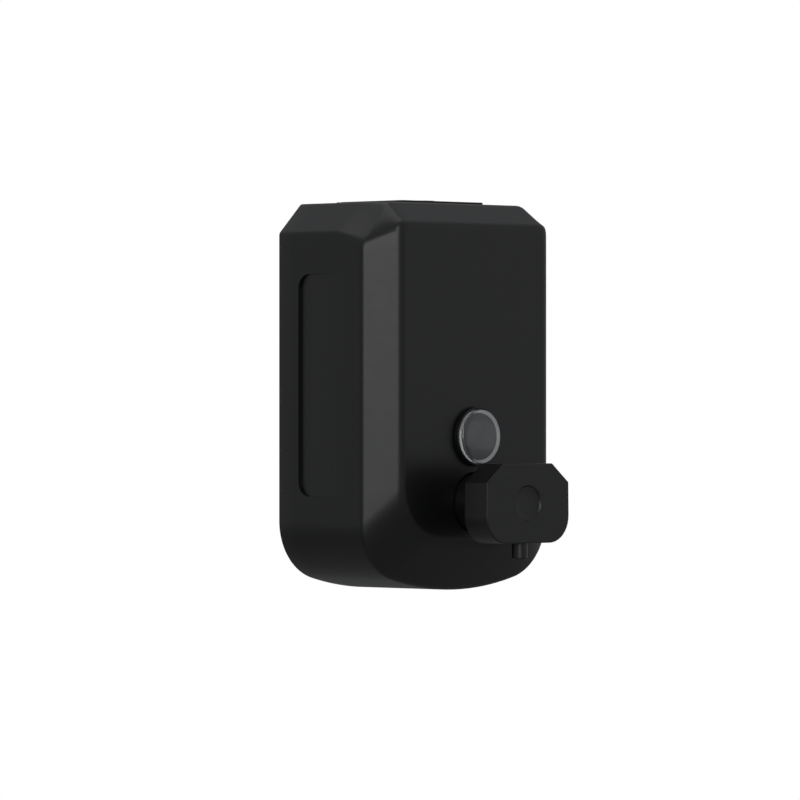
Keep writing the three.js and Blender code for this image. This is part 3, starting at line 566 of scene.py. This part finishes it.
def lid_gasket():
    """A soft-cornered section carried round the inside of the mouth."""
    low, high = corners("lid_gasket")
    profile = rounded([(0.4, low[2]), (0.4, high[2]), (2.6, high[2]), (2.6, low[2])], 0.35, True, 4)
    return frame_of("seal", rectangle(*MOUTH), profile)


# ---- Lock ----

def lock_barrel():
    """A tube with a flange at its top, turned about the lock's axis."""
    low, high = corners("lock_barrel")
    line = [(3.8, low[2]), (6, low[2]), (6, high[2] - 0.5), (7.6, high[2] - 0.5),
            (7.3, high[2]), (3.8, high[2])]
    return turned("barrel", rounded(line, [0.1, 0.3, 0.1, 0.15, 0.2, 0.1], True, 3), LOCK, "z")


def hex_nut(name, centre, flat, h0, h1, bore, axis, start=0.0):
    """A six-sided nut: a prism whose corners are turned off at both faces, with a hole."""
    corner = flat / math.cos(math.pi / 6)
    nut = turned(name, [(0, h0), (corner, h0), (corner, h1), (0, h1)], centre, axis, 6, start)
    shoulder, out = flat - 0.1, corner + 0.2
    drop = (corner - shoulder) * 0.5
    form = [(0, h0), (shoulder, h0), (out, h0 + drop), (out, h1 - drop), (shoulder, h1), (0, h1)]
    shared(nut, turned("form", form, centre, axis, 96, start + 0.02))
    return cut_out(nut, drill(bore, h0 - 1, h1 + 1, centre, axis))


def lock_nut():
    """The barrel's six-sided nut, below the lid."""
    low, high = corners("lock_nut")
    return hex_nut("nut", LOCK, 6.93, low[2], high[2], 6.2, "z", math.pi / 6)


def lock_plug():
    """The turning plug, with a three-sided key socket in its head."""
    low, high = corners("lock_plug")
    line = [(0, low[2]), (2.3, low[2]), (2.3, 99.8), (3.6, 99.8), (3.6, high[2]), (0, high[2])]
    plug = turned("plug", rounded(line, [0, 0.2, 0.1, 0.2, 0.25, 0], False, 3), LOCK, "z")
    return cut_out(plug, drill(2.2, high[2] - 3, high[2] + 2, LOCK, "z", 3),
                   drill(1.5, 96, 101.2, LOCK, "z"))


def lock_cam():
    """A bar along X with a raised end, and a round hole for its screw."""
    low, high = corners("lock_cam")
    x0, x1, z0, z1 = low[0], high[0], low[2], high[2]
    line = [(x0, z0), (x1, z0), (x1, z1), (12.6, z1), (12.6, z0 + 1.8), (x0, z0 + 1.8)]
    bar_piece = slab("cam", polygon(line, [0.3, 0.3, 0.3, 0.3, 0.2, 0.3], 3), rim(low[1], high[1], 0.25), "y")
    return cut_out(bar_piece, drill(2.6, 96, 102, LOCK, "z"))


def cam_screw():
    """A pan-headed screw with a cross slot."""
    low = corners("cam_screw")[0][2]
    line = [(0, low), (3.8, low), (3.8, 97.2), (1.2, 97.2), (1.2, 100.9), (0, 100.9)]
    screw = turned("cam_screw", rounded(line, [0, 1.2, 0.15, 0.1, 0.2, 0], False, 5), LOCK, "z", 64)
    x, y = LOCK[0], LOCK[1]
    return cut_out(screw, block(x - 2, y - 0.35, low - 1, x + 2, y + 0.35, low + 0.9),
                   block(x - 0.35, y - 2, low - 1, x + 0.35, y + 2, low + 0.9))


# ---- Sight glass ----

LENS_POWER = 0.9


def sight_bezel():
    """A flanged tube with a pocket for the lens and soft lips."""
    low, high = corners("sight_bezel")
    outer, front, rear = high[0], low[1], high[1]
    lens = corners("sight_lens")[1][0] + 0.4
    line = [(11.5, rear), (11.5, FRONT - 1.5), (lens, FRONT - 1.5), (lens, front), (outer, front),
            (outer, FRONT - 0.8), (12.6, FRONT - 0.8), (12.6, rear)]
    radii = [0.2, 0.15, 0.15, 0.3, 0.55, 0.2, 0.2, 0.2]
    return turned("bezel", rounded(line, radii, True, 4), SIGHT, sides=160)


def sight_gasket():
    """A thin flat ring: a soft-cornered rectangle turned about the sight glass's axis."""
    low, high = corners("sight_gasket")
    return turned("ring", bar(SIGHT_HOLE, high[0], low[1], high[1], 0.15), SIGHT, sides=128)


def lens_o_ring():
    """A ring: a rectangle with well rounded corners turned about the sight glass's axis."""
    low, high = corners("lens_o_ring")
    return turned("ring", bar(11.8, high[0], low[1], high[1], 0.28), SIGHT, sides=128)


def sight_lens():
    """A clear disc: a flat back, a straight rim and a crown. Over a quarter turn, the crown's radius goes as
    the sine and its height as the cosine, each to a power just under one."""
    low, high = corners("sight_lens")
    rim_radius, rear, crown = high[0], high[1], low[1]
    shoulder = rear - 1.5
    a = np.linspace(0, math.pi / 2, 40)
    r = rim_radius * np.sin(a) ** LENS_POWER
    h = shoulder - (shoulder - crown) * np.cos(a) ** LENS_POWER
    dome = np.stack([r, h], -1)
    dome[0], dome[-1] = (0, crown), (rim_radius, shoulder)
    edge = rounded([(rim_radius, shoulder), (rim_radius, rear), (0, rear)], [0, 0.3, 0], False, 4)[1:]
    return turned("lens", np.concatenate([dome, edge]), SIGHT, sides=192)


def sight_nut():
    """The bezel's six-sided nut, behind the front sheet."""
    low, high = corners("sight_nut")
    return hex_nut("nut", SIGHT, 14.1, low[1], high[1], 12.8, "y")


# ---- Pump ----

FLANGE_RADIUS = 18.9
EAR_REACH = 29.5
EAR_RADIUS = 5.4
EAR_MEET = 5.5


def flange_line():
    """The valve flange's outline: a round disc with a round-ended ear at each side."""
    meet = math.asin(EAR_MEET / FLANGE_RADIUS)
    a = np.linspace(meet, math.pi - meet, 40)
    b = np.linspace(math.pi / 2, -math.pi / 2, 16)
    top = FLANGE_RADIUS * np.stack([np.cos(a), np.sin(a)], -1)
    left = np.stack([EAR_RADIUS - EAR_REACH - EAR_RADIUS * np.cos(b), EAR_RADIUS * np.sin(b)], -1)
    return np.concatenate([top, left, top[::-1] * (1, -1), left[::-1] * (-1, 1)])


def flange(name, y0, y1, bore, soft):
    """A flange plate with two ears, its bore and two stud holes. Its outline is scaled down to move in."""
    def outline(e):
        """The flange's line scaled down by e at its disc."""
        return flange_line() * (1 - e / FLANGE_RADIUS) + (0, PUMP[2])
    plate = slab(name, outline, rim(y0, y1, soft), "y")
    holes = [drill(2.3, y0 - 1, y1 + 1, PUMP + (side * STUD_SPREAD, 0, 0), sides=40) for side in (-1, 1)]
    return cut_out(plate, drill(bore, y0 - 1, y1 + 1, PUMP, sides=96), *holes)


def valve_body():
    """A cup with a flange, and the pump's cylinder behind its floor."""
    low, high = corners("valve_body")
    front, rear = low[1], high[1]
    hole = SKIRT_HOLE
    line = [(hole + 1.3, front), (hole + 1.3, front + 1.5), (hole, front + 1.5), (hole, -60), (4.8, -60),
            (4.8, -56), (7, -56), (7, rear), (9.5, rear), (9.5, -58), (18.7, -58), (18.7, front)]
    radii = [0.2, 0.1, 0.2, 0.8, 0.2, 0.1, 0.1, 0.2, 0.3, 0.8, 0.8, 0.2]
    cup = turned("valve_cup", rounded(line, radii, True, 4), PUMP, sides=96)
    return join_on(cup, flange("valve_flange", front, front + 2, hole + 1.3, 0.3))


def skirt_wiper():
    """A soft-cornered rectangle turned about the pump's axis."""
    low, high = corners("skirt_wiper")
    return turned("wiper", bar(15.8, high[0], low[1], high[1], 0.25), PUMP, sides=128)


def valve_gasket():
    """A thin seal with the valve flange's outline and holes."""
    low, high = corners("valve_gasket")
    return flange("seal", low[1], high[1], 16.8, 0.12)


def valve_nut(node):
    """A small six-sided nut on one of the studs."""
    low, high = corners(node)
    return hex_nut("nut", middle(node), 3.46, low[1], high[1], 2.2, "y", math.pi / 6)


def inlet_elbow():
    """A screw cap with a neck and a tube that turns down from it, hollow right through."""
    x, y, end = 0, middle("inlet_seat")[1], corners("inlet_elbow")[0][2]
    grip = rounded([(0, -34), (11.6, -34), (11.6, -22.6), (0, -22.6)], [0, 0.5, 1, 0], False, 4)
    cap = turned("cap", grip, PUMP, sides=96)
    top = PUMP[2] + 5.5
    neck = turned("neck", [(0, -24), (5.3, -24), (5.3, y + 1.3), (0, y + 1.3)], PUMP, sides=50)
    down = rounded([(0, end), (5.5, end), (5.5, top), (0, top)], [0, 0.4, 2.5, 0], False, 5)
    tube = turned("tube", down, (x, y, 0), "z", 64)
    join_on(cap, neck, tube)
    slot = block(-3.4, y - 0.8, -84, 3.4, y + 0.8, -78)
    return cut_out(cap, drill(9.8, -35, -25.7, PUMP), drill(2.35, -30, y + 0.9, PUMP, sides=50),
                   drill(2.5, end - 1, PUMP[2], (x, y, 0), "z"),
                   drill(3.6, end - 1, -81.2, (x, y, 0), "z"), slot)


def inlet_seat():
    """A short ring: a soft-cornered rectangle turned about the tube's axis."""
    low, high = corners("inlet_seat")
    return turned("seat", bar(1.8, high[0], low[2], high[2], 0.3), middle("inlet_seat"), "z", 64)


BALL_RADIUS = 3


def inlet_ball():
    """A ball: half a circle turned about Z."""
    centre = middle("inlet_ball")
    a = np.linspace(-math.pi / 2, math.pi / 2, 32)
    profile = np.stack([BALL_RADIUS * np.cos(a), centre[2] + BALL_RADIUS * np.sin(a)], -1)
    profile[[0, -1], 0] = 0
    return turned("ball", profile, centre, "z", 64)


WIRE_RADIUS = 0.45
COIL_RADIUS = 5.3
TURNS = 7
SPRING_FRONT = -48.55
SPRING_REAR = -26.4 - WIRE_RADIUS


def return_spring():
    """A round wire carried along a helix about the pump's axis. A small sine wave taken off the climb lays
    its end turns close together."""
    t = np.linspace(0, 1, 480)
    climb = t - 0.06 * np.sin(2 * math.pi * t)
    angle = 2 * math.pi * TURNS * t
    along = SPRING_FRONT + (SPRING_REAR - SPRING_FRONT) * climb
    path = np.stack([COIL_RADIUS * np.cos(angle), along, COIL_RADIUS * np.sin(angle)], -1)
    way = np.gradient(path, axis=0)
    way /= np.linalg.norm(way, axis=1)[:, None]
    out = np.stack([np.cos(angle), np.zeros_like(angle), np.sin(angle)], -1)
    out -= np.einsum("ij,ij->i", out, way)[:, None] * way
    out /= np.linalg.norm(out, axis=1)[:, None]
    up = np.cross(way, out)
    s = np.linspace(0, 2 * math.pi, 14, endpoint=False)[None, :, None]
    rings = path[:, None] + WIRE_RADIUS * (np.cos(s) * out[:, None] + np.sin(s) * up[:, None])
    rings += (0, 0, PUMP[2])
    return skin("spring", rings, "lids")


# ---- Button, plunger and nozzle ----

BUTTON_CUT_X = 12.4
BUTTON_CUT_Z = 10
BUTTON_CORNER = 15
BUTTON_FLARE = 0.4
DIMPLE_RADIUS = 9.75
DIMPLE_DEPTH = 1.25
BUTTON_SPREAD = 2.2
BUTTON_DEPTH_INSIDE = 4.2
NOZZLE_BOSS = 4.8


def button_outline(inward):
    """The button's front view about its own axis: cut top corners and round bottom corners."""
    half, high = BUTTON_HIGH[0], BUTTON_HIGH[2] - PUMP[2]
    shoulder = half - BUTTON_FLARE
    line = [(-half, -high), (half, -high), (shoulder, high - BUTTON_CUT_Z), (shoulder - BUTTON_CUT_X, high),
            (BUTTON_CUT_X - shoulder, high), (-shoulder, high - BUTTON_CUT_Z)]
    r = BUTTON_CORNER - inward
    return rounded(inset(line, inward), [r, r, 0.7, 0.7, 0.7, 0.7], True, 10)


def push_button():
    """A hollow cap: a shallow dish with a narrow lip in the middle of its face, then rings that change evenly
    from the dish's circle to the front view, a soft edge, the sides, and the inside. Bosses are joined on
    behind."""
    front, rear = BUTTON_LOW[1], BUTTON_HIGH[1]
    base = button_outline(0)
    gaps = np.linalg.norm(np.roll(base, -1, 0) - base, axis=1)
    counts = np.maximum(np.ceil(gaps / BUTTON_SPREAD), 1).astype(int)
    index = np.repeat(np.arange(len(base)), counts)
    place = np.arange(len(index)) - np.repeat(np.cumsum(counts) - counts, counts)
    share = (place / counts[index])[:, None]

    def edge_line(inward):
        """The front view moved in, with points at the same shares of each of its sides."""
        line = button_outline(inward)
        return line[index] * (1 - share) + np.roll(line, -1, 0)[index] * share

    def ring(flat, y):
        """A flat line stood up at a depth y."""
        return np.stack([flat[:, 0], np.full(len(flat), y), flat[:, 1] + PUMP[2]], -1)

    outer = edge_line(1.6)
    circle = outer / np.linalg.norm(outer, axis=1)[:, None]
    floor_y, lip = front + DIMPLE_DEPTH, DIMPLE_RADIUS + 0.7
    dish = [(0, floor_y), (DIMPLE_RADIUS * 0.6, floor_y - 0.12), (DIMPLE_RADIUS - 0.9, floor_y - 0.4),
            (DIMPLE_RADIUS - 0.1, front), (lip, front)]
    rings = [ring(circle * r, y) for r, y in rounded(dish, [0, 14, 0.5, 0.25, 0], False, 8, 0.2)[1:]]
    start = circle * lip
    for t in np.linspace(0, 1, 7)[1:]:
        rings.append(ring(start * (1 - t) + outer * t, front))
    edge = rounded([(1.6, front), (0, front), (0, rear), (2.6, rear)], [0, 0.8, 0.3, 0], False, 6)[1:-1]
    rings += [ring(edge_line(e), y) for e, y in edge]
    back = front + BUTTON_DEPTH_INSIDE
    inner = rounded([(0.8, rear), (2.6, rear), (2.6, back), (9, back)], [0, 0.3, 1, 0], False, 4)[1:]
    rings += [ring(edge_line(e), y) for e, y in inner]
    poles = np.array([[0, floor_y, PUMP[2]], [0, back, PUMP[2]]])
    cap = skin("button", rings, "poles", poles)
    low_edge = BUTTON_LOW[2]
    boss = drill(9, front + 2.5, rear - 0.05, PUMP, sides=96)
    nozzle_boss = drill(NOZZLE_BOSS, low_edge + 1, PUMP[2] + 0.7, NOZZLE, "z", 90)
    join_on(cap, boss, nozzle_boss)
    return cut_out(cap, drill(6.3, rear - 4.8, rear + 1, PUMP), drill(1.8, NOZZLE[1] - 1.3, rear, PUMP),
                   drill(NOZZLE_RADIUS + 0.3, low_edge - 1, PUMP[2] + 2.5, NOZZLE, "z", 96))


def plunger():
    """A skirt with a web, a boss in front and a hollow stem behind, turned in one."""
    high = corners("plunger")[1]
    rear = BUTTON_HIGH[1] + 0.3
    skirt = high[0]
    line = [(1.8, rear - 4.5), (6, rear - 4.5), (6, rear), (skirt, rear), (skirt, FRONT + 5),
            (skirt - 2, FRONT + 5), (skirt - 2, rear + 2.5), (4.5, rear + 2.5), (4.5, -56.3),
            (3, -56.3), (3, high[1]), (1.8, high[1])]
    radii = [0.2, 0.3, 0.2, 0.6, 0.5, 0.4, 1, 1, 0.2, 0.1, 0.3, 0.2]
    return turned("plunger", rounded(line, radii, True, 4), PUMP, sides=144)


def piston():
    """A ring with a groove for its seal, turned about the pump's axis."""
    low, high = corners("piston")
    line = [(3.3, low[1]), (6.6, low[1]), (6.6, -54.2), (5.3, -54.2), (5.3, -52.2), (6.6, -52.2),
            (6.6, high[1]), (3.3, high[1])]
    return turned("piston", rounded(line, [0.1, 0.3, 0.15, 0.1, 0.1, 0.15, 0.3, 0.1], True, 3), PUMP)


def piston_seal():
    """A soft-cornered rectangle turned about the pump's axis."""
    low, high = corners("piston_seal")
    return turned("seal", bar(5.5, high[0], low[1], high[1], 0.4), PUMP)


def nozzle():
    """A short tube with a soft lower lip."""
    low, high = corners("nozzle")
    line = [(2.4, low[2]), (high[0], low[2]), (high[0], high[2]), (2.4, high[2])]
    return turned("nozzle", rounded(line, [0.5, 1.25, 0.3, 0.2], True, 8), NOZZLE, "z")


def duckbill():
    """A rubber sleeve that narrows to a small opening at its lower end."""
    low, high = corners("duckbill")
    line = [(1.4, high[2]), (0.5, low[2]), (1.3, low[2]), (2.2, low[2] + 4), (2.2, high[2])]
    return turned("sleeve", rounded(line, [0.1, 0.1, 0.25, 0.6, 0.15], True, 4), NOZZLE, "z", 64)


# ---- Finishes ----

def material(name, color, roughness, metallic=0.0):
    """One even colour, roughness and share of metal on the usual shader."""
    made = bpy.data.materials.new(name)
    made.use_nodes = True
    shader = made.node_tree.nodes["Principled BSDF"]
    shader.inputs["Base Color"].default_value = (*color, 1)
    shader.inputs["Roughness"].default_value = roughness
    shader.inputs["Metallic"].default_value = metallic
    return made


def noise(tree, scale, detail, stretch=(1, 1, 1)):
    """A noise over Object coordinates, stretched along some axes."""
    place = tree.nodes.new("ShaderNodeTexCoord")
    mapping = tree.nodes.new("ShaderNodeMapping")
    mapping.inputs["Scale"].default_value = stretch
    texture = tree.nodes.new("ShaderNodeTexNoise")
    texture.inputs["Scale"].default_value = scale
    texture.inputs["Detail"].default_value = detail
    tree.links.new(place.outputs["Object"], mapping.inputs["Vector"])
    tree.links.new(mapping.outputs["Vector"], texture.inputs["Vector"])
    return texture.outputs[0]


def spread(tree, value, low, high):
    """Takes a value between 0.3 and 0.7 to a range."""
    ramp = tree.nodes.new("ShaderNodeMapRange")
    ramp.inputs["From Min"].default_value = 0.3
    ramp.inputs["From Max"].default_value = 0.7
    ramp.inputs["To Min"].default_value = low
    ramp.inputs["To Max"].default_value = high
    tree.links.new(value, ramp.inputs["Value"])
    return ramp.outputs["Result"]


def textured(made, rough, rough_scale, bumps):
    """Adds slow changes of roughness, and one bump after another: (scale, detail, height in mm, stretch)."""
    tree = made.node_tree
    shader = tree.nodes["Principled BSDF"]
    tree.links.new(spread(tree, noise(tree, rough_scale, 3), *rough), shader.inputs["Roughness"])
    before = None
    for scale, detail, height, stretch in bumps:
        bump = tree.nodes.new("ShaderNodeBump")
        bump.inputs["Strength"].default_value = 1
        bump.inputs["Distance"].default_value = height * MM
        tree.links.new(noise(tree, scale, detail, stretch), bump.inputs["Height"])
        if before:
            tree.links.new(before, bump.inputs["Normal"])
        before = bump.outputs["Normal"]
    tree.links.new(before, shader.inputs["Normal"])
    return made


EVEN = (1, 1, 1)


def black_coat():
    """A satin black powder coat: fine orange peel over a slow unevenness."""
    made = material("black_coat", (0.0036, 0.0038, 0.0042), 0.38)
    return textured(made, (0.365, 0.385), 160, [(420, 2, 0.003, EVEN), (1500, 2, 0.0025, EVEN)])


def black_plastic():
    """Moulded black plastic with a fine eroded grain."""
    made = material("black_plastic", (0.0045, 0.0046, 0.005), 0.38)
    return textured(made, (0.37, 0.41), 200, [(2200, 2, 0.004, EVEN)])


def grey_plastic():
    """Moulded grey plastic with a fine grain."""
    made = material("grey_plastic", (0.26, 0.265, 0.27), 0.4)
    return textured(made, (0.36, 0.46), 60, [(1600, 2, 0.004, EVEN)])


def steel():
    """Brushed steel: scratches drawn out along X."""
    made = material("steel", (0.46, 0.465, 0.47), 0.3, 1)
    return textured(made, (0.24, 0.38), 80, [(900, 4, 0.003, (0.04, 1, 1)), (300, 2, 0.002, EVEN)])


def rubber():
    """Dull black rubber with a fine grain."""
    made = material("rubber", (0.006, 0.006, 0.006), 0.65)
    return textured(made, (0.55, 0.75), 90, [(1800, 3, 0.006, EVEN)])


def pale_silicone():
    """Smooth pale silicone rubber with a faint mottle."""
    made = material("pale_silicone", (0.78, 0.79, 0.78), 0.4)
    return textured(made, (0.35, 0.45), 150, [(900, 2, 0.004, EVEN)])


def clear_acrylic():
    """Clear acrylic with very slight waves of moulding."""
    made = material("clear_acrylic", (0.96, 0.97, 0.98), 0.02)
    shader = made.node_tree.nodes["Principled BSDF"]
    shader.inputs["Transmission Weight"].default_value = 0.955
    shader.inputs["IOR"].default_value = 1.49
    return textured(made, (0.01, 0.04), 120, [(90, 1, 0.006, EVEN)])


FINISHES = {"black_coat": black_coat(), "black_plastic": black_plastic(), "grey_plastic": grey_plastic(),
            "steel": steel(), "rubber": rubber(), "pale_silicone": pale_silicone(),
            "clear_acrylic": clear_acrylic()}


# ---- Assembly ----

BODIES = {node: owner for owner, nodes in frame["record"]["behaviour"]["bodies"].items() for node in nodes}


def add(piece, node, finish):
    """Puts a finished piece in the place of a frame node, on the node's body."""
    piece.name = node + "_fine"
    piece.data.materials.clear()
    piece.data.materials.append(FINISHES[finish])
    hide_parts(node)
    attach(piece, BODIES[node])
    return piece


add(wall_plate(), "wall_plate", "steel")
add(retaining_nut(), "retaining_nut", "steel")
add(retaining_screw(), "retaining_screw", "steel")
add(hanger_bracket(), "hanger_bracket", "steel")
add(back_panel(), "back_panel", "black_coat")
add(container_shell(), "container_shell", "black_coat")
add(hinge_leaf(), "hinge_leaf", "black_coat")
add(hinge_pin(), "hinge_pin", "steel")
add(filler_lid(), "filler_lid", "black_coat")
add(lid_gasket(), "lid_gasket", "rubber")
add(lock_barrel(), "lock_barrel", "steel")
add(lock_nut(), "lock_nut", "steel")
add(lock_plug(), "lock_plug", "steel")
add(lock_cam(), "lock_cam", "steel")
add(cam_screw(), "cam_screw", "steel")
add(sight_bezel(), "sight_bezel", "black_plastic")
add(sight_gasket(), "sight_gasket", "rubber")
add(lens_o_ring(), "lens_o_ring", "pale_silicone")
add(sight_lens(), "sight_lens", "clear_acrylic")
add(sight_nut(), "sight_nut", "black_plastic")
add(valve_body(), "valve_body", "grey_plastic")
add(valve_gasket(), "valve_gasket", "rubber")
add(skirt_wiper(), "skirt_wiper", "rubber")
add(valve_nut("valve_nut_left"), "valve_nut_left", "steel")
add(valve_nut("valve_nut_right"), "valve_nut_right", "steel")
add(inlet_elbow(), "inlet_elbow", "grey_plastic")
add(inlet_seat(), "inlet_seat", "grey_plastic")
add(inlet_ball(), "inlet_ball", "steel")
add(push_button(), "push_button", "black_plastic")
add(plunger(), "plunger", "black_plastic")
add(piston(), "piston", "grey_plastic")
add(piston_seal(), "piston_seal", "rubber")
add(nozzle(), "nozzle", "black_plastic")
add(duckbill(), "duckbill", "rubber")
spring = add(return_spring(), "return_spring", "steel")
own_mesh(spring)


# ---- Floor, light and camera ----

CAMERA_TURN = 44.42
CAMERA_LENS = 263.9
CAMERA_DISTANCE = 3.133


def floor():
    """A wide pale floor below the dispenser."""
    size, height = 6, -1.2
    mesh = bpy.data.meshes.new("floor")
    square = [(-size, -size, height), (size, -size, height), (size, size, height), (-size, size, height)]
    mesh.from_pydata(square, [], [(0, 1, 2, 3)])
    piece = bpy.data.objects.new("floor", mesh)
    bpy.context.scene.collection.objects.link(piece)
    pale = material("floor_pale", (0.42, 0.42, 0.42), 0.85)
    piece.data.materials.append(textured(pale, (0.8, 0.9), 3, [(40, 2, 0.2, EVEN)]))


def surroundings():
    """White where the camera looks past the dispenser, and a soft dim grey as light."""
    world = bpy.data.worlds.new("studio")
    bpy.context.scene.world = world
    world.use_nodes = True
    nodes, links = world.node_tree.nodes, world.node_tree.links
    nodes.clear()
    out = nodes.new("ShaderNodeOutputWorld")
    mix = nodes.new("ShaderNodeMixShader")
    path = nodes.new("ShaderNodeLightPath")
    dim, white = nodes.new("ShaderNodeBackground"), nodes.new("ShaderNodeBackground")
    dim.inputs["Color"].default_value = (0.345, 0.35, 0.36, 1)
    white.inputs["Color"].default_value = (1, 1, 1, 1)
    links.new(path.outputs["Is Camera Ray"], mix.inputs[0])
    links.new(dim.outputs[0], mix.inputs[1])
    links.new(white.outputs[0], mix.inputs[2])
    links.new(mix.outputs[0], out.inputs["Surface"])


def camera():
    """Level with the dispenser, to the left of its front, with a long lens."""
    turn = math.radians(CAMERA_TURN)
    aim = np.array([-0.0177, -0.040, -0.0018])
    forward = np.array([math.sin(turn), math.cos(turn), 0])
    data = bpy.data.cameras.new("camera")
    data.lens = CAMERA_LENS
    data.sensor_width = 36
    data.clip_end = 50
    piece = bpy.data.objects.new("camera", data)
    bpy.context.scene.collection.objects.link(piece)
    piece.location = aim - CAMERA_DISTANCE * forward
    piece.rotation_euler = (math.pi / 2, 0, -turn)
    bpy.context.scene.camera = piece


def soft_box(name, place, aim, size, power, spread_degrees=180):
    """A wide rectangular light at a place, turned to face a point."""
    data = bpy.data.lights.new(name, "AREA")
    data.shape = "RECTANGLE"
    data.size, data.size_y = size
    data.energy = power
    data.spread = math.radians(spread_degrees)
    piece = bpy.data.objects.new(name, data)
    bpy.context.scene.collection.objects.link(piece)
    piece.location = place
    piece.rotation_euler = (Vector(aim) - Vector(place)).to_track_quat("-Z", "Y").to_euler()


floor()
surroundings()
camera()
soft_box("front_left", (-1.7, -1.7, 0.45), (0, -0.04, 0), (1.1, 1.3), 4.1, 100)
soft_box("overhead", (-0.05, 0.3, 1.6), (0, -0.04, 0), (1.2, 1.2), 3.4)
soft_box("front_right", (1.7, -1.7, 0.3), (0, -0.04, 0), (1.6, 1.6), 0.7)
bpy.context.scene.view_settings.view_transform = "Standard"
